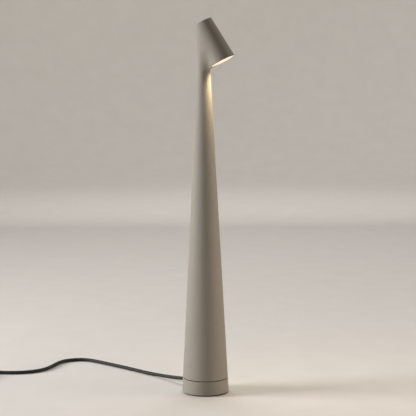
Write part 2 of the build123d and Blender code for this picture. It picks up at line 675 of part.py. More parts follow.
with BuildPart() as heat_sink:
    with BuildSketch(head_plane(SINK_V)):
        Circle(head_radius(SINK_V) - WALL - SINK_FIT)
    with BuildSketch(head_plane(SINK_TOP)):
        Circle(head_radius(SINK_TOP) - WALL - SINK_FIT)
    loft()
    with BuildSketch(head_plane(SINK_TOP)):
        with GridLocations(FIN_PITCH, FIN_PITCH, SLOT_COUNT, 1):
            Rectangle(SLOT_WIDTH, SLOT_LENGTH)
    extrude(amount=-SLOT_DEPTH, mode=Mode.SUBTRACT)
    with BuildSketch(head_plane(SINK_V)):
        with Locations((RECESS_MIDDLE, 0)):
            Rectangle(RECESS_LENGTH, RECESS_WIDTH)
    extrude(amount=RECESS_HEIGHT, mode=Mode.SUBTRACT)
    with BuildSketch(head_plane(SINK_V)):
        with Locations(*LED_SCREWS):
            Circle(M25_RADIUS + CLEAR)
    extrude(amount=SINK_HOLE_DEPTH, mode=Mode.SUBTRACT)
save(heat_sink.part, "heat_sink")

with BuildPart() as led_board:
    with BuildSketch(head_plane(BOARD_V)):
        Circle(LED_BOARD_RADIUS)
        with Locations(*LED_SCREWS):
            Circle(M25_RADIUS + CLEAR, mode=Mode.SUBTRACT)
    extrude(amount=SINK_V - BOARD_V)
save(led_board.part, "led_board")

with BuildPart() as led_chip:
    with BuildSketch(head_plane(BOARD_V - CHIP_HEIGHT)):
        Circle(CHIP_RADIUS)
    extrude(amount=CHIP_HEIGHT)
save(led_chip.part, "led_chip")

with BuildPart() as led_screws:
    with BuildSketch(head_plane(BOARD_V)):
        with Locations(*LED_SCREWS):
            Circle(M25_RADIUS)
    extrude(amount=LED_SCREW_LENGTH)
    with BuildSketch(head_plane(BOARD_V - LED_HEAD_HEIGHT)):
        with Locations(*LED_SCREWS):
            Circle(M25_HEAD_RADIUS)
    extrude(amount=LED_HEAD_HEIGHT)
save(led_screws.part, "led_screws")

with BuildPart() as led_connector:
    with BuildSketch(head_plane(SINK_V)):
        with Locations(((CONNECTOR_FRONT + CONNECTOR_BACK) / 2, 0)):
            Rectangle(CONNECTOR_FRONT - CONNECTOR_BACK, CONNECTOR_WIDTH)
    extrude(amount=CONNECTOR_HEIGHT)
save(led_connector.part, "led_connector")

with BuildPart() as reflector:
    with BuildSketch(head_plane(LENS_DEPTH)):
        Circle(REFLECTOR_MOUTH)
    with BuildSketch(head_plane(REFLECTOR_TOP)):
        Circle(REFLECTOR_THROAT)
    loft()
    with BuildSketch(head_plane(LENS_DEPTH)):
        Circle(REFLECTOR_MOUTH - REFLECTOR_WALL)
    with BuildSketch(head_plane(REFLECTOR_TOP)):
        Circle(REFLECTOR_THROAT - REFLECTOR_WALL)
    loft(mode=Mode.SUBTRACT)
save(reflector.part, "reflector")

with BuildPart() as diffuser_seal:
    with BuildSketch(head_plane(SEAL_V)):
        Circle(LENS_RADIUS - SEAL_FIT)
        Circle(SEAL_INNER, mode=Mode.SUBTRACT)
    extrude(amount=LENS_DEPTH - SEAL_V)
save(diffuser_seal.part, "diffuser_seal")

with BuildPart() as diffuser:
    with BuildSketch(head_plane(LENS_INSET)):
        Circle(LENS_RADIUS - LENS_FIT)
    extrude(amount=SEAL_V - LENS_INSET)
    fillet(diffuser.faces().sort_by(Axis.Z)[0].edges(), LENS_ROUND)
save(diffuser.part, "diffuser")

with BuildPart() as touch_sensor:
    with BuildSketch(head_plane(CAVITY_TOP - SENSOR_HEIGHT)):
        Circle(SENSOR_RADIUS)
    extrude(amount=SENSOR_HEIGHT)
save(touch_sensor.part, "touch_sensor")

# ---------------------------------------------------------------- leads inside the lamp
SUPPLY_BEND = 8.0
LED_LEAD_BEND = 14.0
supply_start = polar(TERMINAL_INNER, INLET_AZIMUTH, SUPPLY_Z)
supply_corner = Vector(0, 0, SUPPLY_Z)
with BuildPart() as supply_lead:
    with BuildLine():
        FilletPolyline(supply_start, supply_corner, (0, 0, INPUT_Z), radius=SUPPLY_BEND)
    with BuildSketch(Plane(supply_start, z_dir=supply_corner - supply_start)):
        Circle(SUPPLY_RADIUS)
    sweep()
save(supply_lead.part, "supply_lead")

lead_end = HEAD.from_local_coords(Vector(CONNECTOR_BACK, 0, WIRE_V))
lead_corner = lead_end - head_front * (lead_end.X / head_front.X)
with BuildPart() as led_lead:
    with BuildLine():
        FilletPolyline((0, 0, OUTPUT_Z + OUTPUT_HEIGHT), lead_corner, lead_end, radius=LED_LEAD_BEND)
    with BuildSketch(Plane.XY.offset(OUTPUT_Z + OUTPUT_HEIGHT)):
        Circle(LEAD_RADIUS)
    sweep()
save(led_lead.part, "led_lead")

# ---------------------------------------------------------------- mains cord on the desk
COIL_INNER = 22.9  # radius of the innermost and of the outermost turn, at the cord's centre
COIL_OUTER = 41.5
COIL_CENTRE = Vector(-432.0, 7.0 - COIL_OUTER, 0)
COIL_TURNS = 6.25
ARC_SHARE = 0.45  # each arc takes this much of the shorter of its two runs
COIL_ROUND = 0.9  # the coil's edges are rounded by this much of the cord's radius

cord_route = [
    gland_tip,
    Vector(-66.1, 41.3, 8.5),
    Vector(-94.1, 58.8, 5.3),
    Vector(-131.7, 79.7, CORD_RADIUS),
    Vector(-178.0, 103.5, CORD_RADIUS),
    Vector(-227.0, 126.0, CORD_RADIUS),
    Vector(-270.0, 144.6, CORD_RADIUS),
    Vector(-296.2, 138.1, CORD_RADIUS),
    Vector(-312.8, 116.8, CORD_RADIUS),
    Vector(-313.5, 84.0, CORD_RADIUS),
    Vector(-315.0, 54.0, CORD_RADIUS),
    Vector(-331.0, 29.0, CORD_RADIUS),
    Vector(-358.0, 14.0, CORD_RADIUS),
    Vector(-388.0, 8.2, CORD_RADIUS),
    Vector(-411.0, 6.9, CORD_RADIUS),
    COIL_CENTRE + Vector(0, COIL_OUTER, CORD_RADIUS),
]


def bend_radii(route):
    """Radius of the arc at each corner: ARC_SHARE of the shorter run over the tangent of half the turn."""
    radii = []
    for before, corner, after in zip(route, route[1:], route[2:]):
        arriving = corner - before
        leaving = after - corner
        half_turn = radians(arriving.get_angle(leaving)) / 2
        radii.append(ARC_SHARE * min(arriving.length, leaving.length) / tan(half_turn))
    return radii


def cord_tube(route):
    """Round cord along straight runs joined by tangent arcs."""
    radii = bend_radii(route)
    with BuildPart() as tube:
        with BuildLine() as path:
            FilletPolyline(*route, radius=radii)
        with BuildSketch(Plane(route[0], z_dir=route[1] - route[0])):
            Circle(CORD_RADIUS)
        sweep()
    length = path.wires()[0].length
    print("cord radii", [round(r, 1) for r in radii])
    print("cord length", round(length, 1), "volume over section times length",
          round(tube.part.volume / (pi * CORD_RADIUS**2 * length), 4))
    return tube.part, length


mains_cord, cord_run = cord_tube(cord_route)
save(mains_cord, "mains_cord")

coil_length = 2 * pi * COIL_TURNS * (COIL_INNER + COIL_OUTER) / 2
with BuildPart() as cord_coil:
    with BuildSketch(Plane(COIL_CENTRE)):
        Circle(COIL_OUTER + CORD_RADIUS)
        Circle(COIL_INNER - CORD_RADIUS, mode=Mode.SUBTRACT)
    extrude(amount=2 * CORD_DIAMETER)
    fillet(cord_coil.edges().filter_by(GeomType.CIRCLE), CORD_RADIUS * COIL_ROUND)
save(cord_coil.part, "cord_coil")

PLUG_LENGTH = 35.3
PLUG_THICKNESS = 13.7
PLUG_FRONT_WIDTH = 35.3
PLUG_SHOULDER = 12.0  # from the plug's rear to where it is widest behind the grip
PLUG_SHOULDER_WIDTH = 26.0
PLUG_ROUND = 6.0
PLUG_COLLAR_RADIUS = 4.5
PIN_X = 9.3
PIN_RADIUS = 2.0
PIN_LENGTH = 19.0
PIN_ROUND = 1.2
TAIL_LEAVES_Y = -16.0  # where the lead leaves the coil, from the coil's centre
TAIL_ENDS_Y = -52.0
PLUG_REAR = COIL_CENTRE + Vector(-COIL_OUTER, TAIL_ENDS_Y, PLUG_THICKNESS / 2)
tail_start = COIL_CENTRE + Vector(-COIL_OUTER, TAIL_LEAVES_Y, 2 * CORD_DIAMETER - CORD_RADIUS)
with BuildPart() as cord_tail:
    with BuildSketch(Plane(tail_start, z_dir=PLUG_REAR - tail_start)):
        Circle(CORD_RADIUS)
    extrude(amount=(PLUG_REAR - tail_start).length)
save(cord_tail.part, "cord_tail")

PLUG = Plane(PLUG_REAR, x_dir=(1, 0, 0), z_dir=(0, -1, 0))
with BuildPart() as plug_body:
    with BuildSketch(PLUG):
        Circle(PLUG_COLLAR_RADIUS)
    with BuildSketch(PLUG.offset(PLUG_SHOULDER)):
        RectangleRounded(PLUG_SHOULDER_WIDTH, PLUG_THICKNESS, PLUG_ROUND)
    loft()
    with BuildSketch(PLUG.offset(PLUG_SHOULDER)):
        RectangleRounded(PLUG_SHOULDER_WIDTH, PLUG_THICKNESS, PLUG_ROUND)
    with BuildSketch(PLUG.offset(PLUG_LENGTH)):
        RectangleRounded(PLUG_FRONT_WIDTH, PLUG_THICKNESS, PLUG_ROUND)
    loft()
save(plug_body.part, "plug_body")

with BuildPart() as plug_pins:
    with BuildSketch(PLUG.offset(PLUG_LENGTH)):
        with Locations((-PIN_X, 0), (PIN_X, 0)):
            Circle(PIN_RADIUS)
    extrude(amount=PIN_LENGTH)
    fillet(plug_pins.faces().filter_by(Axis.Y).group_by(Axis.Y)[0].edges(), PIN_ROUND)
save(plug_pins.part, "plug_pins")

total_cord = cord_run + coil_length + (PLUG_REAR - tail_start).length
print("whole cord", round(total_cord, 1), "of", CORD_LENGTH)
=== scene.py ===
# %% [markdown]
# # A slim cone lamp with a spotlight head
# The lamp is a long cast cone that grows, with no joint, into a short tilted cone. It turns on a low ring.
# The CAD model holds every piece and every size. This script adds the finishes, the flowing shape between
# neck and head, the braided lead and the light.

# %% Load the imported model
import json
import math

import bmesh
import bpy
import numpy as np
from mathutils import Matrix, Vector


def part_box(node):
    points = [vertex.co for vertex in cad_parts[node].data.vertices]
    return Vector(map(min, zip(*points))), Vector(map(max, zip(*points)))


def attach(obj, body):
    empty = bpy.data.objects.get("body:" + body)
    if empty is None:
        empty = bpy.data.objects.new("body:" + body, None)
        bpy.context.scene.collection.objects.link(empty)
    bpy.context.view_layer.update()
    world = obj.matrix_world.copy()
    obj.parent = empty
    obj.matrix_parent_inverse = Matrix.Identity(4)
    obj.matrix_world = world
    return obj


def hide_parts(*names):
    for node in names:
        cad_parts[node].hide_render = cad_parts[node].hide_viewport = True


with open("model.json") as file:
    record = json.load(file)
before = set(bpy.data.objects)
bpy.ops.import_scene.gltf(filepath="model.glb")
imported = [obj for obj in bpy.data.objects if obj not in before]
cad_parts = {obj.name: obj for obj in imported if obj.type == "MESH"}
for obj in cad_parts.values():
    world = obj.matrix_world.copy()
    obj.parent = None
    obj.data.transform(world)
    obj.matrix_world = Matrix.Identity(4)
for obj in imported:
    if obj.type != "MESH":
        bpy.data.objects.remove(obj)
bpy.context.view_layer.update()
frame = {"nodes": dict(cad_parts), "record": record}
nodes = frame["nodes"]
MM = 0.001

# %% [markdown]
# ## Camera
# A long lens a good two metres away keeps the tall cone's sides straight. It stands at the height of the
# head and looks down a little, so the foot is seen from above and the head from just below its rim.

# %% Camera
VIEW_AZIMUTH = math.radians(18)
PITCH = math.radians(7.535)
ROLL = math.radians(0.29)
FOCAL_LENGTH = 131.76
CAMERA_PLACE = (5.7, -2484.2, 637.4)  # in mm, before the turn about the lamp's axis
camera_data = bpy.data.cameras.new("camera")
camera_data.sensor_width = 36
camera_data.lens = FOCAL_LENGTH
camera_data.clip_end = 100
camera = bpy.data.objects.new("camera", camera_data)
bpy.context.scene.collection.objects.link(camera)
turn = Matrix.Rotation(VIEW_AZIMUTH, 4, "Z")
place = Matrix.Translation(Vector(CAMERA_PLACE) * MM)
aim = Matrix.Rotation(math.pi / 2 - PITCH, 4, "X") @ Matrix.Rotation(-ROLL, 4, "Z")
camera.matrix_world = turn @ place @ aim
bpy.context.scene.camera = camera
print("camera at", [round(c, 3) for c in camera.matrix_world.translation])

# %% [markdown]
# ## Sizes that the shapes share
# These are the design's own numbers, in millimetres. They repeat the CAD model's driving dimensions, and
# the shell's node box is printed below.

# %% Sizes
HEIGHT = 620.0
FOOT_RADIUS = 38.8
TAPER = math.tan(math.radians(3.0))
WALL = 2.0
SEAM_TOP = 25.6
NECK_Z = 546.0
HEAD_TILT = math.radians(27.8)
HEAD_LENGTH = 71.8
HEAD_TOP_RADIUS = 14.6
HEAD_RIM_RADIUS = 21.0
HEAD_TOP_X = -0.6
LENS_RADIUS = 20.2
LENS_DEPTH = 3.4
head_up = np.array([-math.sin(HEAD_TILT), 0, math.cos(HEAD_TILT)])
head_front = np.array([math.cos(HEAD_TILT), 0, math.sin(HEAD_TILT)])
head_top = np.array([HEAD_TOP_X, 0, HEIGHT - HEAD_TOP_RADIUS * math.sin(HEAD_TILT)])
rim_centre = head_top - head_up * HEAD_LENGTH
body_low, body_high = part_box("lamp_body")
print("shell in the CAD model, mm:", [round(c * 1000, 1) for c in (*body_low, *body_high)])


def cone_radius(z):
    """Outer radius of the long cone at height z, in mm."""
    return FOOT_RADIUS - TAPER * z


# %% [markdown]
# ## The lead's route
# A braided textile lead over a round two-core flex, 6 mm across and 1.8 m long, as such lamps have. It
# leaves the ring behind, sinks to the desk and lies there in a lazy S. The length nobody needs is wound
# into a small coil of two layers, with the plug beside it. The line is one NURBS curve whose points are
# listed one by one. Only the coil is worked out, turn by turn.

# %% Route
CORD = 6.0
CORD_RADIUS = CORD / 2
COIL_INNER = 22.9
COIL_OUTER = 41.5
COIL_CENTRE = (-432.0, 7.0 - COIL_OUTER)
COIL_TURNS = 6.25
POINTS_PER_TURN = 24
CLIMB_TURN = 0.5  # the lead climbs to the coil's upper layer over this much of a turn
INLET_AZIMUTH = math.radians(148)
INLET_SLOPE = math.radians(7)
INLET_Z = 13.4
RELIEF_LENGTH = 20.0
out_of_ring = np.array([
    math.cos(INLET_AZIMUTH) * math.cos(INLET_SLOPE),
    math.sin(INLET_AZIMUTH) * math.cos(INLET_SLOPE),
    -math.sin(INLET_SLOPE),
])
relief_start = np.array([
    cone_radius(INLET_Z) * math.cos(INLET_AZIMUTH),
    cone_radius(INLET_Z) * math.sin(INLET_AZIMUTH),
    INLET_Z,
])
relief_tip = relief_start + out_of_ring * RELIEF_LENGTH
route = [
    tuple(relief_tip),
    (-66.1, 41.3, 8.5),
    (-94.1, 58.8, 5.3),
    (-131.7, 79.7, CORD_RADIUS),
    (-178.0, 103.5, CORD_RADIUS),
    (-227.0, 126.0, CORD_RADIUS),
    (-270.0, 144.6, CORD_RADIUS),
    (-296.2, 138.1, CORD_RADIUS),
    (-312.8, 116.8, CORD_RADIUS),
    (-313.5, 84.0, CORD_RADIUS),
    (-315.0, 54.0, CORD_RADIUS),
    (-331.0, 29.0, CORD_RADIUS),
    (-358.0, 14.0, CORD_RADIUS),
    (-388.0, 8.2, CORD_RADIUS),
    (-411.0, 6.9, CORD_RADIUS),
]
half = COIL_TURNS / 2
for i in range(int(COIL_TURNS * POINTS_PER_TURN) + 1):
    t = i / POINTS_PER_TURN
    inward = min(t, COIL_TURNS - t) / half  # 0 at either end, 1 where the layers change
    radius = COIL_OUTER + (COIL_INNER - COIL_OUTER) * inward
    climb = min(1.0, max(0.0, (t - half + CLIMB_TURN / 2) / CLIMB_TURN))
    angle = math.pi / 2 + 2 * math.pi * t
    route.append((
        COIL_CENTRE[0] + radius * math.cos(angle),
        COIL_CENTRE[1] + radius * math.sin(angle),
        CORD_RADIUS + CORD * climb * climb * (3 - 2 * climb),
    ))
plug_low, plug_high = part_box("plug_body")
plug_rear = Vector(((plug_low.x + plug_high.x) / 2, plug_high.y, (plug_low.z + plug_high.z) / 2)) / MM
coil_end = Vector(route[-1])
# the tail sinks off the coil, and runs straight into the plug
route.append(tuple(coil_end + Vector((0, -8, -0.2))))
route.append(tuple(coil_end.lerp(plug_rear, 0.5) + Vector((0, 0, -0.4))))
route.append(tuple(plug_rear + Vector((0, 6, 0))))
route.append(tuple(plug_rear))
print("route points", len(route), "plug enters at", [round(c, 1) for c in plug_rear])


# %% Centreline
RING_SPACING = 1.25


def nurbs_line(name, points_mm):
    """A smooth line through space with these control points, returned as evenly spaced points in mm."""
    data = bpy.data.curves.new(name, "CURVE")
    data.dimensions = "3D"
    data.resolution_u = 12
    spline = data.splines.new("NURBS")
    spline.points.add(len(points_mm) - 1)
    for point, (x, y, z) in zip(spline.points, points_mm):
        point.co = (x * MM, y * MM, z * MM, 1)
    spline.order_u = 3
    spline.use_endpoint_u = True
    line = bpy.data.objects.new(name, data)
    bpy.context.scene.collection.objects.link(line)
    bpy.context.view_layer.update()
    mesh = bpy.data.meshes.new_from_object(line.evaluated_get(bpy.context.evaluated_depsgraph_get()))
    raw = np.array([v.co for v in mesh.vertices]) / MM
    bpy.data.objects.remove(line)
    bpy.data.meshes.remove(mesh)
    steps = np.linalg.norm(np.diff(raw, axis=0), axis=1)
    far = np.concatenate([[0], np.cumsum(steps)])
    count = int(far[-1] / RING_SPACING) + 1
    even = np.linspace(0, far[-1], count)
    return np.stack([np.interp(even, far, raw[:, k]) for k in range(3)], axis=1), far[-1]


cord_line, cord_length = nurbs_line("cord_route", route)
print("lead length, mm:", round(cord_length, 1), "rings:", len(cord_line))

# %% [markdown]
# ## Colours, nodes and finishes
# Every finish is a node tree on one Principled shader. Colours are written as sRGB hex, the way a paint
# chart gives them, and turned to the linear values that the renderer adds up. Most surfaces share one
# recipe: a grain of a real size in millimetres moves the colour, the roughness and the height together.

# %% Colour and node helpers
def linear(hex_code):
    """An sRGB colour such as #A09890 as linear red, green, blue and a full alpha."""
    parts = [int(hex_code[i:i + 2], 16) / 255 for i in (1, 3, 5)]
    return (*[c / 12.92 if c <= 0.04045 else ((c + 0.055) / 1.055) ** 2.4 for c in parts], 1.0)


def add(tree, kind, inputs=None, **settings):
    """Add a node with its own settings. inputs gives each socket a value or another node's output."""
    node = tree.nodes.new(kind)
    for name, value in settings.items():
        setattr(node, name, value)
    for name, value in (inputs or {}).items():
        if isinstance(value, bpy.types.NodeSocket):
            tree.links.new(value, node.inputs[name])
        else:
            node.inputs[name].default_value = value
    return node


def new_material(name, **inputs):
    """A material with one Principled shader whose plain values are set on its own sockets."""
    material = bpy.data.materials.new(name)
    material.use_nodes = True
    tree = material.node_tree
    shader = next(n for n in tree.nodes if n.type == "BSDF_PRINCIPLED")
    for socket, value in inputs.items():
        shader.inputs[socket.replace("_", " ")].default_value = value
    return material, tree, shader


def grained(name, dark, light, grain_mm, roughness, spread, depth_mm, stretch=(1, 1, 1), **inputs):
    """A surface whose colour, roughness and height follow one grain. stretch draws the grain out."""
    material, tree, shader = new_material(name, **inputs)
    where = add(tree, "ShaderNodeTexCoord")
    drawn = add(tree, "ShaderNodeMapping", {"Vector": where.outputs["Object"], "Scale": stretch})
    grain = add(tree, "ShaderNodeTexNoise",
                {"Vector": drawn.outputs["Vector"], "Scale": 1 / (grain_mm * MM), "Detail": 4.0})
    tint = add(tree, "ShaderNodeValToRGB", {"Fac": grain.outputs["Fac"]})
    tint.color_ramp.elements[0].position = 0.3
    tint.color_ramp.elements[0].color = linear(dark)
    tint.color_ramp.elements[1].position = 0.7
    tint.color_ramp.elements[1].color = linear(light)
    tree.links.new(tint.outputs["Color"], shader.inputs["Base Color"])
    rough = add(tree, "ShaderNodeMapRange",
                {"Value": grain.outputs["Fac"], "From Min": 0.3, "From Max": 0.7,
                 "To Min": roughness - spread, "To Max": roughness + spread})
    tree.links.new(rough.outputs["Result"], shader.inputs["Roughness"])
    relief = add(tree, "ShaderNodeBump", {"Distance": depth_mm * MM, "Height": grain.outputs["Fac"]})
    tree.links.new(relief.outputs["Normal"], shader.inputs["Normal"])
    return material


print("greige as linear light:", [round(c, 3) for c in linear("#9C958B")])

# %% [markdown]
# ## Powder coat
# The cone and the ring are aluminium under a fine-textured powder coat. The powder is sprayed dry and
# melts in an oven to a skin with a pebbled surface, about 0.3 mm from bump to bump. That breaks up every
# reflection, so the coat looks like dry stone: matt, warm grey, the same all over, with a slightly lighter
# speck on each pebble. Two sizes of pebble are laid over each other, both coarser than the real ones,
# which are too fine to show at this distance: small ones for a close look and larger ones for a far one.

# %% Powder coat
FINE_PEBBLE = 0.55
FAR_PEBBLE = 1.5
PEBBLE_HEIGHT = 0.16
powder_coat, tree, shader = new_material("powder coat", IOR=1.5, Metallic=0.0, Specular_IOR_Level=0.35)
where = add(tree, "ShaderNodeTexCoord")
fine = add(tree, "ShaderNodeTexVoronoi",
           {"Vector": where.outputs["Object"], "Scale": 1 / (FINE_PEBBLE * MM), "Smoothness": 0.6},
           feature="SMOOTH_F1")
dome = add(tree, "ShaderNodeMapRange",
           {"Value": fine.outputs["Distance"], "From Min": 0.1, "From Max": 0.6,
            "To Min": 1.0, "To Max": 0.0})
far = add(tree, "ShaderNodeTexNoise",
          {"Vector": where.outputs["Object"], "Scale": 1 / (FAR_PEBBLE * MM), "Detail": 2.0,
           "Roughness": 0.5})
skin_height = add(tree, "ShaderNodeMath",
                  {0: dome.outputs["Result"], 1: 0.45, 2: far.outputs["Fac"]}, operation="MULTIPLY_ADD")
speckle = add(tree, "ShaderNodeValToRGB", {"Fac": skin_height.outputs["Value"]})
speckle.color_ramp.elements[0].position = 0.4
speckle.color_ramp.elements[0].color = linear("#8A857B")
speckle.color_ramp.elements[1].position = 1.0
speckle.color_ramp.elements[1].color = linear("#958F85")
tree.links.new(speckle.outputs["Color"], shader.inputs["Base Color"])
dry = add(tree, "ShaderNodeMapRange",
          {"Value": skin_height.outputs["Value"], "From Min": 0.4, "From Max": 1.0,
           "To Min": 0.72, "To Max": 0.58})
tree.links.new(dry.outputs["Result"], shader.inputs["Roughness"])
relief = add(tree, "ShaderNodeBump",
             {"Distance": PEBBLE_HEIGHT * MM, "Height": skin_height.outputs["Value"]})
tree.links.new(relief.outputs["Normal"], shader.inputs["Normal"])
finishes = {"powder_coat": powder_coat}
print("far pebbles across the foot:", round(2 * FOOT_RADIUS / FAR_PEBBLE))

# %% [markdown]
# ## Rubber and moulded plastics
# Moulded plastic copies its steel tool. A spark-eroded tool leaves a fine even matt grain, about 0.4 mm
# wide, and a polished one leaves a soft gloss. Rubber is duller and carries a little dust. All are
# dielectrics with an index near 1.5, and only their grain and roughness tell them apart.

# %% Rubber and plastics
ERODED = 0.8  # drawn twice as wide as the real grain, so that it shows
finishes["foot_rubber"] = grained(
    "nitrile rubber", "#141312", "#232120", 2.0, 0.86, 0.05, 0.12, IOR=1.52)
finishes["acetal_black"] = grained(
    "turned acetal", "#101112", "#1B1C1D", 0.9, 0.42, 0.06, 0.03, stretch=(1, 1, 4), IOR=1.48)
finishes["plug_black"] = grained(
    "moulded black PVC", "#0F0F10", "#1C1C1D", ERODED, 0.48, 0.07, 0.05, IOR=1.53)
finishes["terminal_white"] = grained(
    "moulded polyamide", "#D5D1C4", "#E9E6DC", ERODED, 0.5, 0.06, 0.03, IOR=1.53)
finishes["driver_white"] = grained(
    "moulded polycarbonate", "#DCDCD8", "#EFEFEC", ERODED, 0.4, 0.06, 0.03, IOR=1.585)
finishes["wire_white"] = grained(
    "extruded silicone lead", "#CFCBC2", "#E4E1DA", 1.2, 0.55, 0.06, 0.04, stretch=(1, 1, 0.2), IOR=1.42)
finishes["capacitor_sleeve"] = grained(
    "shrunk sleeve", "#1A1C2E", "#272A40", 1.0, 0.3, 0.05, 0.02, IOR=1.5)
finishes["seal_silicone"] = grained(
    "moulded silicone", "#B9B7B0", "#CFCDC7", 1.1, 0.6, 0.05, 0.04, IOR=1.42)
finishes["reflector_white"] = grained(
    "vacuum-formed white acrylic", "#E2E0DA", "#F3F1EC", 1.5, 0.32, 0.04, 0.02, IOR=1.49)
print("plastics and rubber:", len(finishes) - 1)

# %% [markdown]
# ## Metals
# Bare metal is all reflection: its colour tints what it mirrors, so it keeps the default index and takes
# its look from roughness and the marks of its making. Turned brass and steel have fine lines round the
# part, cast iron a coarse skin, folded aluminium a grain along the sheet, and plating is bright. The lines
# are drawn about five times wider than real ones, which are too fine to show.

# %% Metals
finishes["zinc_steel"] = grained(
    "zinc-plated steel", "#9FA3A6", "#C2C6C9", 0.7, 0.34, 0.08, 0.02, Metallic=1.0)
finishes["cast_iron_black"] = grained(
    "sand-cast iron", "#1C1B1A", "#35322F", 2.4, 0.72, 0.1, 0.35, Metallic=0.6)
finishes["brass"] = grained(
    "turned brass", "#A88A4A", "#CDB06E", 0.6, 0.3, 0.07, 0.02, stretch=(1, 1, 5), Metallic=1.0)
finishes["bronze_bush"] = grained(
    "sintered bronze", "#7E5F3E", "#A07B52", 0.5, 0.5, 0.08, 0.05, Metallic=1.0)
finishes["nickel"] = grained(
    "nickel plate", "#B9B4A9", "#DAD6CC", 0.5, 0.22, 0.05, 0.01, stretch=(4, 1, 4), Metallic=1.0)
finishes["tray_aluminium"] = grained(
    "folded aluminium", "#A6A8AA", "#C9CBCC", 0.8, 0.42, 0.08, 0.02, stretch=(1, 1, 0.1), Metallic=1.0)
finishes["sink_aluminium"] = grained(
    "black anodised aluminium", "#1B1B1D", "#2C2C2F", 0.7, 0.42, 0.08, 0.02, stretch=(1, 1, 6),
    Metallic=0.8)
finishes["copper"] = grained(
    "enamelled copper", "#8A4A2A", "#B06A40", 0.6, 0.35, 0.06, 0.03, stretch=(1, 1, 5), Metallic=1.0)
print("finishes so far:", len(finishes))

# %% [markdown]
# ## Electronics
# Circuit board is glass cloth in green lacquer, so a faint weave shows through. The lamp board is white to
# throw light forward, the transformer is wound with yellow tape, and the chip is yellow phosphor.

# %% Electronics
finishes["circuit_green"] = grained(
    "lacquered glass laminate", "#0E3A22", "#1A5233", 0.9, 0.34, 0.06, 0.03, Coat_Weight=0.4)
finishes["ferrite_tape"] = grained(
    "polyester tape over ferrite", "#B9962A", "#D8B848", 1.8, 0.36, 0.06, 0.06)
finishes["led_board_white"] = grained(
    "white lacquered board", "#DFDED9", "#F1F0EC", 0.9, 0.38, 0.05, 0.02)
finishes["led_phosphor"] = grained(
    "phosphor under silicone", "#D9B23A", "#EBC95A", 0.8, 0.3, 0.05, 0.02)
print("finishes so far:", len(finishes))

# %% [markdown]
# ## The lit lens
# The opening is closed with a disc of opal acrylic. Opal acrylic scatters the light of the chip behind it,
# so the whole face glows evenly and warm, a little less towards its edge.

# %% Opal acrylic
LENS_RADIANCE = 0.48
EDGE_GLOW = 0.75  # the glow at the lens's edge, as a share of the middle's
LENS_MIDDLE = 1.6  # the disc's middle is this far above the rim
MILK_GRAIN = 3.0
WARM_WHITE = "#FFE3B4"  # a warm lamp, seen beside daylight
opal, tree, shader = new_material("opal acrylic", IOR=1.49, Roughness=0.35)
shader.inputs["Base Color"].default_value = linear("#F3EFE6")
shader.inputs["Emission Color"].default_value = linear(WARM_WHITE)
where = add(tree, "ShaderNodeTexCoord")
lens_centre = (rim_centre + head_up * LENS_MIDDLE) * MM
reach = add(tree, "ShaderNodeVectorMath", {0: where.outputs["Object"], 1: tuple(lens_centre)},
            operation="DISTANCE")
milk = add(tree, "ShaderNodeTexNoise", {"Vector": where.outputs["Object"], "Scale": 1 / (MILK_GRAIN * MM)})
glow = add(tree, "ShaderNodeMapRange",
           {"Value": reach.outputs["Value"], "From Min": 0.0, "From Max": LENS_RADIUS * MM,
            "To Min": LENS_RADIANCE, "To Max": LENS_RADIANCE * EDGE_GLOW})
uneven = add(tree, "ShaderNodeMapRange",
             {"Value": milk.outputs["Fac"], "To Min": 0.97, "To Max": 1.03})
even = add(tree, "ShaderNodeMath", {0: glow.outputs["Result"], 1: uneven.outputs["Result"]},
           operation="MULTIPLY")
tree.links.new(even.outputs["Value"], shader.inputs["Emission Strength"])
finishes["opal_acrylic"] = opal
print("lens centre, mm:", [round(c / MM, 1) for c in lens_centre])

# %% [markdown]
# ## Braided textile
# The lead's jacket is braided from dyed rayon yarn: two sets of yarns run round it in opposite turns and
# cross over and under. The relief of the braid is in the mesh. The finish adds the yarns' own sheen, and
# paints the tops paler where the braid stands proud: a painted highlight on each crossing. A named UV map
# gives each point's place along and round the lead in whole braid cells, so that the colour follows the
# relief.

# %% Braided textile
BRAID_ROUND = 8  # cells round the lead; a real braid has 16, too fine to show at this distance
BRAID_PITCH = 3.0
BRAID_DEPTH = 0.16
textile, tree, shader = new_material("braided rayon", IOR=1.5, Sheen_Weight=0.08, Sheen_Roughness=0.4)
shader.inputs["Sheen Tint"].default_value = linear("#B0A89E")
along = add(tree, "ShaderNodeUVMap", uv_map="braid")
cells = add(tree, "ShaderNodeSeparateXYZ", {"Vector": along.outputs["UV"]})
turns_up = add(tree, "ShaderNodeMath", {0: cells.outputs["X"], 1: cells.outputs["Y"]}, operation="ADD")
turns_down = add(tree, "ShaderNodeMath", {0: cells.outputs["X"], 1: cells.outputs["Y"]},
                 operation="SUBTRACT")
crowns = []
for direction in (turns_up, turns_down):
    swing = add(tree, "ShaderNodeMath", {0: direction.outputs["Value"], 1: math.pi}, operation="MULTIPLY")
    crown = add(tree, "ShaderNodeMath", {0: swing.outputs["Value"]}, operation="SINE")
    crowns.append(add(tree, "ShaderNodeMath", {0: crown.outputs["Value"]}, operation="ABSOLUTE"))
proud = add(tree, "ShaderNodeMath", {0: crowns[0].outputs["Value"], 1: crowns[1].outputs["Value"]},
            operation="MULTIPLY")
# the yarn's own near-black, with a painted highlight on the crowns where the braid stands proud
yarn_with_painted_highlight = add(tree, "ShaderNodeValToRGB", {"Fac": proud.outputs["Value"]})
yarn_with_painted_highlight.color_ramp.elements[0].color = linear("#060606")
yarn_with_painted_highlight.color_ramp.elements[1].color = linear("#262422")
tree.links.new(yarn_with_painted_highlight.outputs["Color"], shader.inputs["Base Color"])
fibre = add(tree, "ShaderNodeMapRange", {"Value": proud.outputs["Value"], "To Min": 0.85, "To Max": 0.5})
tree.links.new(fibre.outputs["Result"], shader.inputs["Roughness"])
finishes["cord_textile"] = textile
print("finishes:", len(finishes))

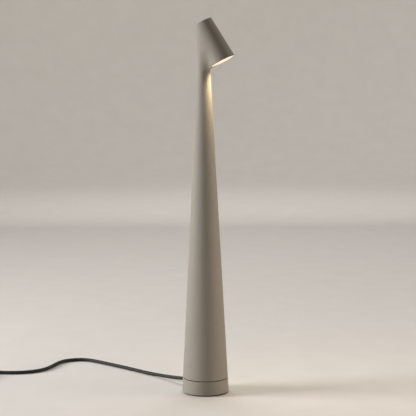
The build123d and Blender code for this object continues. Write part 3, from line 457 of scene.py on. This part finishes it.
# %% [markdown]
# ## Mesh helpers
# Nearly every piece here is a skin over rings: a lathe gives circles, a taper gives circles that shrink,
# and a leaning neck gives circles that fan out. One helper skins any row of rings, and closes its ends.

# %% Rings and skins
Y_AXIS = np.array([0.0, 1.0, 0.0])


def circle(centre, across, radius, count=96, side=Y_AXIS):
    """Points round a circle. across and side are two directions in its plane."""
    turn_by = np.linspace(0, 2 * math.pi, count, endpoint=False)
    spokes = np.outer(np.cos(turn_by), across) + np.outer(np.sin(turn_by), side)
    return np.asarray(centre) + radius * spokes


def new_object(name, mesh):
    """An object that shows this mesh, linked into the scene."""
    made = bpy.data.objects.new(name, mesh)
    bpy.context.scene.collection.objects.link(made)
    return made


def bands(ring_count, count, looped=False):
    """Quads between neighbouring rings of count points. looped joins the last ring to the first as well."""
    faces = []
    for level in range(ring_count if looped else ring_count - 1):
        low = level * count
        high = (level + 1) % ring_count * count
        for i in range(count):
            j = (i + 1) % count
            faces.append([low + i, low + j, high + j, high + i])
    return faces


def end_caps(ring_count, count):
    """A flat face on the first ring and one on the last."""
    last = (ring_count - 1) * count
    return [list(range(count))[::-1], list(range(last, last + count))]


def solid(name, rings, faces):
    """A mesh on these rings, in mm, with every face turned outwards."""
    mesh = bpy.data.meshes.new(name)
    mesh.from_pydata((np.concatenate(rings) * MM).tolist(), [], faces)
    turned = bmesh.new()
    turned.from_mesh(mesh)
    bmesh.ops.recalc_face_normals(turned, faces=turned.faces)
    turned.to_mesh(mesh)
    turned.free()
    return mesh


def skin(name, rings):
    """A closed solid through rings of equal point count, with a flat face at either end."""
    count = len(rings[0])
    return new_object(name, solid(name, rings, end_caps(len(rings), count) + bands(len(rings), count)))


def lathe(name, start, axis, across, side, profile, count=96):
    """A turned solid: profile lists (distance along the axis, radius) from one end to the other, in mm."""
    return skin(name, [circle(start + axis * far, across, radius, count, side) for far, radius in profile])


def baked(thing):
    """The object's mesh with its modifiers applied, as a new mesh."""
    bpy.context.view_layer.update()
    return bpy.data.meshes.new_from_object(thing.evaluated_get(bpy.context.evaluated_depsgraph_get()))


def discard(*things):
    """Remove helper objects that were only needed to cut or to measure."""
    for thing in things:
        bpy.data.objects.remove(thing)


def crisp(mesh, degrees):
    """Smooth shading, with every edge sharper than this kept crisp."""
    mesh.shade_smooth()
    mesh.set_sharp_from_angle(angle=math.radians(degrees))


# %% [markdown]
# ## The shell's form
# Neck and head are one casting, with no seam and no weld line. Three simple solids meet in it: the long
# cone, a leaning back that carries its rear line on into the head, and the head's own short cone. A
# boolean union would leave hard creases between them. A casting flows from one to the next, so here each
# solid is a distance function, and a smooth minimum of the three melts them together: over 2 mm along the
# back and up to 18 mm beside the head. The distance is in mm, negative inside.

# %% Distance functions
BACK_LOW = (-cone_radius(NECK_Z), NECK_Z)  # the leaning back's rear line, as x and z
BACK_HIGH = (head_top - HEAD_TOP_RADIUS * head_front)[[0, 2]]
FRONT_LOW = (cone_radius(NECK_Z), NECK_Z)
FRONT_HIGH = (head_top + HEAD_TOP_RADIUS * head_front)[[0, 2]]
BACK_BLEND = 2.4
BACK_FADE = 0.009
HEAD_BLEND = 18.0
HEAD_FADE = 45.0  # the hollow beside the head dies out over this length below the top
HEAD_TAPER = (HEAD_RIM_RADIUS - HEAD_TOP_RADIUS) / HEAD_LENGTH
tan_tilt = math.tan(HEAD_TILT)
fan_x = HEAD_TOP_X - (head_top[2] - NECK_Z) / tan_tilt
print("the leaning back fans about x =", round(fan_x, 1), "mm")


def head_frame(points):
    """Each point's place out from the rim centre (u), across (y) and along the head's axis (v)."""
    away = points - rim_centre
    return away @ head_front, points[:, 1], away @ head_up


def cone_distance(points):
    """Distance to the long cone."""
    out = np.hypot(points[:, 0], points[:, 1]) - cone_radius(points[:, 2])
    return out * math.cos(math.atan(TAPER))


def fan_reach(angle, low, high):
    """How far from the hinge line the straight line from low to high is crossed at this fan angle."""
    step = np.array(high) - np.array(low)
    rise = np.sin(angle) * (low[0] - fan_x) - np.cos(angle) * (low[1] - NECK_Z)
    share = rise / (np.cos(angle) * step[1] - np.sin(angle) * step[0])
    return np.hypot(low[0] + share * step[0] - fan_x, low[1] + share * step[1] - NECK_Z)


def back_distance(points):
    """Distance to the leaning back, whose sections fan out about a line behind the lamp."""
    angle = np.arctan2(points[:, 2] - NECK_Z, points[:, 0] - fan_x)
    far = np.hypot(points[:, 2] - NECK_Z, points[:, 0] - fan_x)
    rear = fan_reach(angle, BACK_LOW, BACK_HIGH)
    front = fan_reach(angle, FRONT_LOW, FRONT_HIGH)
    below = np.maximum(NECK_Z - points[:, 2], 0)
    shrink = BACK_FADE * below * below  # so that the back is lost in the neck before the rim's height
    return np.hypot(far - (rear + front) / 2, points[:, 1]) - (front - rear) / 2 + shrink


def head_distance(points):
    """Distance to the head's short cone, with no ends."""
    u, y, v = head_frame(points)
    return (np.hypot(u, y) - (HEAD_RIM_RADIUS - HEAD_TAPER * v)) * math.cos(math.atan(HEAD_TAPER))


def melt(a, b, width):
    """The smaller of two distances, rounded where they are within width of each other."""
    near = np.maximum(width - np.abs(a - b), 0) / width
    return np.minimum(a, b) - near * near * width / 4


def shell_distance(points):
    """Distance to the whole flowing shape."""
    stem = melt(cone_distance(points), back_distance(points), BACK_BLEND)
    _, _, along_head = head_frame(points)
    width = HEAD_BLEND * np.clip((HEAD_LENGTH - along_head) / HEAD_FADE, 0.02, 1)
    return melt(stem, head_distance(points), width)


def settle(points, distance, rounds=5):
    """Move each point straight to the surface where the distance is zero."""
    step = 0.05
    for _ in range(rounds):
        slope = np.stack([(distance(points + step * d) - distance(points - step * d)) / (2 * step)
                          for d in np.eye(3)], axis=1)
        square = np.maximum((slope * slope).sum(axis=1), 0.2)
        points = points - (distance(points) / square)[:, None] * slope
    return points


rim_tip = rim_centre + HEAD_RIM_RADIUS * head_front
known = np.array([[-cone_radius(SEAM_TOP), 0, SEAM_TOP], rim_tip, head_top + HEAD_TOP_RADIUS * Y_AXIS])
print("distance at the seam, the rim's tip and the top's side, mm:", np.round(shell_distance(known), 2))

# %% [markdown]
# ## From rough blocks to the flowing surface
# The three solids are first skinned as rough blocks, longer than they need to be. A voxel remesh turns them
# into one even net of quads, about a millimetre apart. Then each point slides to the place where the smooth
# distance is zero, so the net takes the casting's true surface, with soft hollows where the blocks met.

# %% Flowing net
VOXEL = 1.1
REACH = 6.0  # how far the rough blocks run past the planes that trim them
NECK_FOOT = 500.0
STEM_TOP = 590.0
FAN_SPARE = 3.0  # degrees
FAN_COUNT = 12
X_AXIS = np.array([1.0, 0.0, 0.0])
Z_AXIS = np.array([0.0, 0.0, 1.0])
stem_rough = lathe("stem_rough", Z_AXIS * 0, Z_AXIS, X_AXIS, Y_AXIS,
                   [(NECK_FOOT, cone_radius(NECK_FOOT)), (STEM_TOP, cone_radius(STEM_TOP))])
head_rough = lathe("head_rough", rim_centre, head_up, head_front, Y_AXIS,
                   [(-REACH, HEAD_RIM_RADIUS), (HEAD_LENGTH + REACH, HEAD_TOP_RADIUS)])
back_rings = []
for fan in np.radians(np.linspace(-FAN_SPARE, math.degrees(HEAD_TILT) + FAN_SPARE, FAN_COUNT)):
    rear = float(fan_reach(fan, BACK_LOW, BACK_HIGH))
    front = float(fan_reach(fan, FRONT_LOW, FRONT_HIGH))
    outward = np.array([math.cos(fan), 0, math.sin(fan)])
    middle = np.array([fan_x, 0, NECK_Z]) + outward * (rear + front) / 2
    back_rings.append(circle(middle, outward, (front - rear) / 2))
back_rough = skin("back_rough", back_rings)
rough = bmesh.new()
for block in (stem_rough, head_rough, back_rough):
    rough.from_mesh(block.data)
rough_mesh = bpy.data.meshes.new("rough")
rough.to_mesh(rough_mesh)
rough.free()
discard(stem_rough, head_rough, back_rough)


def even_net(mesh):
    """The mesh as one closed net of even quads."""
    thing = new_object("net", mesh)
    remesh = thing.modifiers.new("even net", "REMESH")
    remesh.mode = "VOXEL"
    remesh.voxel_size = VOXEL * MM
    made = baked(thing)
    discard(thing)
    return made


def flow(mesh, relaxations):
    """Slide the net onto the shell's surface, evening out its points between slides."""
    points = np.array([v.co for v in mesh.vertices]) / MM
    edges = np.array([e.vertices[:] for e in mesh.edges])
    _, _, along_head = head_frame(points)
    free = (along_head > -REACH / 2) & (along_head < HEAD_LENGTH + REACH / 2)
    neighbours = np.bincount(edges.ravel(), minlength=len(points))[:, None]
    points[free] = settle(points[free], shell_distance)
    for _ in range(relaxations):
        total = np.zeros_like(points)
        np.add.at(total, edges[:, 0], points[edges[:, 1]])
        np.add.at(total, edges[:, 1], points[edges[:, 0]])
        points[free] = (points[free] + (total / neighbours)[free]) / 2
        points[free] = settle(points[free], shell_distance)
    mesh.vertices.foreach_set("co", (points * MM).ravel())
    return float(np.abs(shell_distance(points[free])).max())


# The first slide folds the net where it fills the narrow hollow under the head. A second remesh unfolds it.
net = even_net(rough_mesh)
flow(net, 0)
net = even_net(net)
miss = flow(net, 4)
print("net points", len(net.vertices), "largest miss, mm:", round(miss, 4))

# %% [markdown]
# ## Trimming the head and running the neck down
# Two parallel planes trim the head: its flat top and its open rim. The plane of the rim also crosses the
# neck. Below it the neck is a plain cone again, so its straight sides are skinned with long rulings from
# that cut to the seam above the ring. The flat face between the two outlines is the head's rim.

# %% Trim and skin
SNAP = 0.2  # net points this near a trimming plane are moved onto it
body = bmesh.new()
body.from_mesh(net)
for trim_point, trim_normal in ((head_top, head_up), (rim_centre, -head_up)):
    everything = body.verts[:] + body.edges[:] + body.faces[:]
    bmesh.ops.bisect_plane(body, geom=everything, dist=SNAP * MM, plane_co=trim_point * MM,
                           plane_no=trim_normal, use_snap_center=True, clear_outer=True)
bmesh.ops.remove_doubles(body, verts=body.verts, dist=VOXEL * MM / 4)


def open_loop(start):
    """The vertices round the opening that this boundary edge belongs to, in order."""
    found = [start.verts[0]]
    edge = start
    while True:
        following = edge.other_vert(found[-1])
        if following is found[0]:
            return found
        found.append(following)
        edge = next(e for e in following.link_edges if e.is_boundary and e is not edge)


def tidy_loop(loop, plane_point):
    """Put an opening's vertices exactly on both the shell's surface and the trimming plane."""
    places = np.array([v.co for v in loop]) / MM
    for _ in range(8):
        places = settle(places, shell_distance, 1)
        places -= np.outer((places - plane_point) @ head_up, head_up)
    for vertex, place in zip(loop, places):
        vertex.co = Vector(place) * MM
    return places


open_edges = [e for e in body.edges if e.is_boundary]
top_loop = open_loop(max(open_edges, key=lambda e: e.verts[0].co.z))
loop = open_loop(min(open_edges, key=lambda e: e.verts[0].co.z))
print("open edges", len(open_edges), "top", len(top_loop), "rim", len(loop))
tidy_loop(top_loop, head_top)
places = tidy_loop(loop, rim_centre)
body.faces.new(top_loop)


def cut_point(bearing):
    """Where the long cone's surface at this bearing meets the plane of the rim."""
    lean = tan_tilt * math.cos(bearing)
    z = (rim_centre[2] + tan_tilt * (FOOT_RADIUS * math.cos(bearing) - rim_centre[0])) / (1 + TAPER * lean)
    return np.array([cone_radius(z) * math.cos(bearing), cone_radius(z) * math.sin(bearing), z])


# The neck's own stretch of the loop is where the head's cone is too far off to melt into it.
on_neck = head_distance(places) - cone_distance(places) > HEAD_BLEND
on_neck &= cone_distance(places) < 1
first = next(i for i in range(len(loop)) if on_neck[i] and not on_neck[i - 1])
loop = loop[first:] + loop[:first]
on_neck = np.roll(on_neck, -first)
neck_count = int(on_neck.sum())
assert on_neck[:neck_count].all(), "the neck's stretch of the loop is in one piece"
neck_run, head_run = loop[:neck_count], loop[neck_count:]
bearings = []
for vertex in neck_run:
    bearing = math.atan2(vertex.co.y, vertex.co.x)
    vertex.co = Vector(cut_point(bearing)) * MM
    bearings.append(bearing % (2 * math.pi))
turning = 1 if bearings[neck_count // 2] > bearings[0] else -1
gap_from, gap_to = bearings[-1], bearings[0] + turning * 2 * math.pi
ARC_STEP = math.radians(4.0)
steps = int(abs(gap_to - gap_from) / ARC_STEP)
front_run = []
for i in range(1, steps):
    bearing = gap_from + (gap_to - gap_from) * i / steps
    front_run.append(body.verts.new(Vector(cut_point(bearing)) * MM))
    bearings.append(bearing)
body.faces.new([neck_run[-1], *head_run, neck_run[0], *front_run[::-1]])
print("neck stretch", neck_count, "front arc", len(front_run))

RULING = 12.0
level_count = int((NECK_FOOT - SEAM_TOP) / RULING)
upper = neck_run + front_run
for z in [NECK_FOOT, *np.linspace(NECK_FOOT, SEAM_TOP, level_count + 1)[1:]]:
    radius = cone_radius(z)
    lower = [body.verts.new(Vector((radius * math.cos(b), radius * math.sin(b), z)) * MM) for b in bearings]
    for i in range(len(upper)):
        j = (i + 1) % len(upper)
        body.faces.new([upper[i], upper[j], lower[j], lower[i]])
    upper = lower
body.faces.new(upper)
bmesh.ops.triangulate(body, faces=[f for f in body.faces if len(f.verts) > 4])
bmesh.ops.recalc_face_normals(body, faces=body.faces)
outer_mesh = bpy.data.meshes.new("lamp_shell")
body.to_mesh(outer_mesh)
open_count = sum(not e.is_manifold for e in body.edges)
body.free()
print("outer skin faces", len(outer_mesh.polygons), "open edges", open_count)

# %% [markdown]
# ## Hollowing the shell
# The casting is a 2 mm wall round the pivot, the driver and the lamp. A turned cutter opens the column from
# below, with a ledge that the weight hangs from. A second one opens the head and seats the lens. The
# ledge's screw holes and the wire's way into the head can't be seen from outside, so they aren't cut here.

# %% Hollow
LEDGE_LOW = 44.0
LEDGE_HIGH = 50.0
LEDGE_RADIUS = 26.0
BORE_TOP = 580.0
CAVITY_TOP = 68.5
CUTTER_SPARE = 5.0  # each cutter starts this far outside the shell
bore_foot = SEAM_TOP - CUTTER_SPARE
bore = lathe("bore", Z_AXIS * 0, Z_AXIS, X_AXIS, Y_AXIS, [
    (bore_foot, cone_radius(bore_foot) - WALL), (LEDGE_LOW, cone_radius(LEDGE_LOW) - WALL),
    (LEDGE_LOW, LEDGE_RADIUS), (LEDGE_HIGH, LEDGE_RADIUS),
    (LEDGE_HIGH, cone_radius(LEDGE_HIGH) - WALL), (BORE_TOP, cone_radius(BORE_TOP) - WALL)])
cavity = lathe("cavity", rim_centre, head_up, head_front, Y_AXIS, [
    (-CUTTER_SPARE, LENS_RADIUS), (LENS_DEPTH, LENS_RADIUS),
    (LENS_DEPTH, HEAD_RIM_RADIUS - HEAD_TAPER * LENS_DEPTH - WALL),
    (CAVITY_TOP, HEAD_RIM_RADIUS - HEAD_TAPER * CAVITY_TOP - WALL)])
outer = new_object("outer", outer_mesh)
for cutter in (bore, cavity):
    cut = outer.modifiers.new(cutter.name, "BOOLEAN")
    cut.operation = "DIFFERENCE"
    cut.solver = "MANIFOLD"
    cut.object = cutter
shell_mesh = baked(outer)
discard(outer, bore, cavity)
shell_mesh.materials.clear()
crisp(shell_mesh, 30)
lamp_shell = new_object("lamp_shell", shell_mesh)
lamp_shell.data.materials.append(finishes["powder_coat"])
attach(lamp_shell, "column")
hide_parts("lamp_body")
check = bmesh.new()
check.from_mesh(shell_mesh)
print("shell faces", len(shell_mesh.polygons), "open edges", sum(not e.is_manifold for e in check.edges),
      "metal, cubic cm:", round(check.calc_volume() * 1e6, 1))
check.free()

# %% [markdown]
# ## Strain relief
# Where the lead leaves the ring, a soft taper moulded on it spreads the bend, so that the conductors don't
# break at the edge. Grooves make it supple towards its tip. It is turned here from one profile.

# %% Strain relief
relief_side = np.cross(out_of_ring, Z_AXIS)
relief_side /= np.linalg.norm(relief_side)
relief_up = np.cross(relief_side, out_of_ring)
RELIEF_SIDES = 64
RELIEF_INSIDE = 6.2
RELIEF_BORE = 3.1
FLANGE_RADIUS = 4.8
FLANGE = 1.5
SHANK_RADIUS = 4.0
SLEEVE_START = 1.6
SLEEVE_ROOT_RADIUS = 5.0
SLEEVE_TIP_RADIUS = 3.55
LIP = 0.25  # the sleeve's first edge and its last are broken by this much
GROOVES = 5
GROOVE_PITCH = 3.0
GROOVE_START = 3.6
GROOVE_WIDTH = 1.4
GROOVE_SIDE = 0.25
GROOVE_DEPTH = 0.55  # as a share of the rubber's thickness


def taper(far):
    """Outer radius of the relief at this distance from the ring's wall."""
    along = (far - SLEEVE_START) / (RELIEF_LENGTH - SLEEVE_START)
    return SLEEVE_ROOT_RADIUS + (SLEEVE_TIP_RADIUS - SLEEVE_ROOT_RADIUS) * along


flange_end = FLANGE - RELIEF_INSIDE
lip_end = SLEEVE_START + LIP
profile = [
    (-RELIEF_INSIDE, RELIEF_BORE), (-RELIEF_INSIDE, FLANGE_RADIUS), (flange_end, FLANGE_RADIUS),
    (flange_end, SHANK_RADIUS), (SLEEVE_START, SHANK_RADIUS), (SLEEVE_START, SLEEVE_ROOT_RADIUS - LIP),
    (lip_end, taper(lip_end)),
]
for n in range(GROOVES):
    near = GROOVE_START + n * GROOVE_PITCH
    far_side = near + GROOVE_WIDTH
    deep = GROOVE_DEPTH * (taper(near) - RELIEF_BORE)
    profile += [
        (near, taper(near)), (near + GROOVE_SIDE, taper(near) - deep),
        (far_side - GROOVE_SIDE, taper(far_side - GROOVE_SIDE) - deep), (far_side, taper(far_side)),
    ]
profile += [
    (RELIEF_LENGTH - 2 * LIP, taper(RELIEF_LENGTH - 2 * LIP)), (RELIEF_LENGTH, SLEEVE_TIP_RADIUS - LIP),
    (RELIEF_LENGTH, RELIEF_BORE),
]
rings = [circle(relief_start + out_of_ring * far, relief_up, radius, RELIEF_SIDES, relief_side)
         for far, radius in profile]
relief_mesh = solid("strain_relief", rings, bands(len(rings), RELIEF_SIDES, looped=True))
crisp(relief_mesh, 25)
strain_relief = new_object("strain_relief", relief_mesh)
strain_relief.data.materials.append(finishes["plug_black"])
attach(strain_relief, "base")
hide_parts("cord_gland")
print("strain relief, mm long:", RELIEF_LENGTH + RELIEF_INSIDE, "grooves:", GROOVES)

# %% [markdown]
# ## The lead itself
# The lead is a tube swept along the route's own smooth line, with the braid pressed into it: a bump where
# two yarns cross. Each ring of points stands square to the line and doesn't twist, so the cells of the
# braid stay in step all the way to the plug.

# %% Braided lead
ROUND = 32
LIE_ABOVE = 0.02  # the lead's underside is pressed flat just above the desk
tangent = np.gradient(cord_line, axis=0)
tangent /= np.linalg.norm(tangent, axis=1)[:, None]
RING_STEP = float(np.linalg.norm(np.diff(cord_line, axis=0), axis=1).mean())
flat_side = np.cross(tangent, Z_AXIS)
flat_side /= np.linalg.norm(flat_side, axis=1)[:, None]
rise = np.cross(flat_side, tangent)
cell_along = np.arange(len(cord_line)) * RING_STEP / BRAID_PITCH
cell_round = np.arange(ROUND) / ROUND * BRAID_ROUND
lift = (np.abs(np.sin(math.pi * (cell_along[:, None] + cell_round[None, :])))
        * np.abs(np.sin(math.pi * (cell_along[:, None] - cell_round[None, :]))))
radii = CORD_RADIUS - BRAID_DEPTH * (1 - lift)
around = np.arange(ROUND) / ROUND * 2 * math.pi
tube = (cord_line[:, None, :]
        + radii[:, :, None] * (np.cos(around)[None, :, None] * flat_side[:, None, :]
                               + np.sin(around)[None, :, None] * rise[:, None, :]))
tube[:, :, 2] = np.maximum(tube[:, :, 2], LIE_ABOVE)
cell_of = [[(0.0, 0.0)] * ROUND, [(0.0, 0.0)] * ROUND]
for level in range(len(tube) - 1):
    for left in cell_round:
        right = left + BRAID_ROUND / ROUND
        cell_of.append([(cell_along[level], left), (cell_along[level], right),
                        (cell_along[level + 1], right), (cell_along[level + 1], left)])
lead_mesh = bpy.data.meshes.new("mains_lead")
lead_faces = end_caps(len(tube), ROUND) + bands(len(tube), ROUND)
lead_mesh.from_pydata((tube.reshape(-1, 3) * MM).tolist(), [], lead_faces)
braid_map = lead_mesh.uv_layers.new(name="braid")
braid_map.data.foreach_set("uv", np.concatenate([np.array(c, dtype=float) for c in cell_of]).ravel())
lead_mesh.shade_smooth()
mains_lead = new_object("mains_lead", lead_mesh)
mains_lead.data.materials.append(finishes["cord_textile"])
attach(mains_lead, "base")
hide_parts("mains_cord", "cord_coil", "cord_tail")
print("lead points", len(lead_mesh.vertices), "ring step, mm:", round(RING_STEP, 3))

# %% [markdown]
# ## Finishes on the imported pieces
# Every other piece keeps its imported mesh, which is exact. It only swaps its plain colour for the finish of
# its own material slot.

# %% Assign the finishes
for part in frame["record"]["subparts"]:
    for material_slot in nodes[part["node"]].material_slots:
        material_slot.material = finishes[part["material_slot"]]

# %% [markdown]
# ## Stage and light
# The lamp stands on a wide pale sheet that sweeps up all round like a bowl, so that no horizon shows from
# any side. One large soft light from the left models the cone, a weaker one from the right lifts its other
# edge, and the front between them stays darker, which makes the long cone look round. A honeycomb grid
# keeps the large light off the sheet beneath it. Two broad lights behind the lamp light the sheet: one
# high up shines down on the floor, and one turns its back on the lamp. The lens lights the neck.

# %% Stage and lights
FLOOR_FLAT = 3000.0
WALL_CURVE = 1200.0
WALL_TOP = 3600.0
SHEET_DROP = 0.2  # the sheet lies this far under the lamp's foot, so that their faces don't touch
sheet_profile = [(0.0, 1.0), (0.0, FLOOR_FLAT)]
for turned in np.radians(np.linspace(7.5, 90, 12)):
    sheet_profile.append((WALL_CURVE * (1 - math.cos(turned)), FLOOR_FLAT + WALL_CURVE * math.sin(turned)))
sheet_profile.append((WALL_TOP, FLOOR_FLAT + WALL_CURVE))
sheet_rings = [circle(np.array([0, 0, z - SHEET_DROP]), X_AXIS, radius) for z, radius in sheet_profile]
backdrop = skin("paper_sheet", sheet_rings)
bowl = bmesh.new()
bowl.from_mesh(backdrop.data)
lid = max(bowl.faces, key=lambda face: face.calc_center_median().z)
bmesh.ops.delete(bowl, geom=[lid], context="FACES")
bowl.to_mesh(backdrop.data)
bowl.free()
backdrop.data.shade_smooth()
backdrop.data.materials.append(grained("pale paper sheet", "#D6D2CC", "#DAD6D0", 60.0, 0.85, 0.03, 0.1))


def soft_light(name, azimuth, elevation, distance, width, height, power, colour, away=False, grid=180):
    """A rectangular light that faces the lamp, or turns its back to it. azimuth counts from the camera.

    grid is how wide its light fans out, in degrees: a honeycomb grid keeps it off the sheet beneath it.
    """
    lamp = bpy.data.lights.new(name, "AREA")
    lamp.shape = "RECTANGLE"
    lamp.size = width
    lamp.size_y = height
    lamp.energy = power
    lamp.color = linear(colour)[:3]
    lamp.spread = math.radians(grid)
    holder = bpy.data.objects.new(name, lamp)
    holder.visible_camera = False
    bpy.context.scene.collection.objects.link(holder)
    a = VIEW_AZIMUTH + math.radians(azimuth)
    e = math.radians(elevation)
    back = Vector((math.sin(a) * math.cos(e), -math.cos(a) * math.cos(e), math.sin(e)))
    holder.location = Vector((0, 0, HEIGHT / 2 * MM)) + back * distance
    holder.rotation_euler = (-back if away else back).to_track_quat("Z", "Y").to_euler()
    return holder


soft_light("key", -86, 14, 2.5, 1.1, 0.9, 27, "#FBF9FA", grid=105)
soft_light("edge", 84, -8, 1.2, 0.4, 0.22, 6.6, "#FFE9DA")
soft_light("overhead", 180, 58, 2.9, 2.6, 2.0, 46, "#FFFEFD")
soft_light("backdrop", 180, 30, 1.5, 2.4, 0.8, 40, "#FFFDFA", away=True)

# The lens's own light: a disc just under the rim, a little smaller than the lens. It rides with the head.
LENS_LIGHT_SIZE = 0.85
LENS_LIGHT_DROP = 0.5
LENS_POWER = 0.42
LENS_SPREAD = math.radians(138)
lens_light = bpy.data.lights.new("lens light", "AREA")
lens_light.shape = "DISK"
lens_light.size = 2 * LENS_RADIUS * LENS_LIGHT_SIZE * MM
lens_light.energy = LENS_POWER
lens_light.spread = LENS_SPREAD
lens_light.color = linear("#FFEBC6")[:3]
lens_holder = bpy.data.objects.new("lens light", lens_light)
bpy.context.scene.collection.objects.link(lens_holder)
lens_holder.location = Vector(rim_centre - head_up * LENS_LIGHT_DROP) * MM
lens_holder.rotation_euler = Vector(head_up).to_track_quat("Z", "Y").to_euler()
lens_holder.visible_camera = False
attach(lens_holder, "column")
ROOM_LIGHT = 0.08
world = bpy.data.worlds.new("studio")
world.use_nodes = True
sky = world.node_tree.nodes["Background"]
sky.inputs["Color"].default_value = linear("#F3F2F0")
sky.inputs["Strength"].default_value = ROOM_LIGHT
bpy.context.scene.world = world
bpy.context.scene.view_settings.view_transform = "Standard"
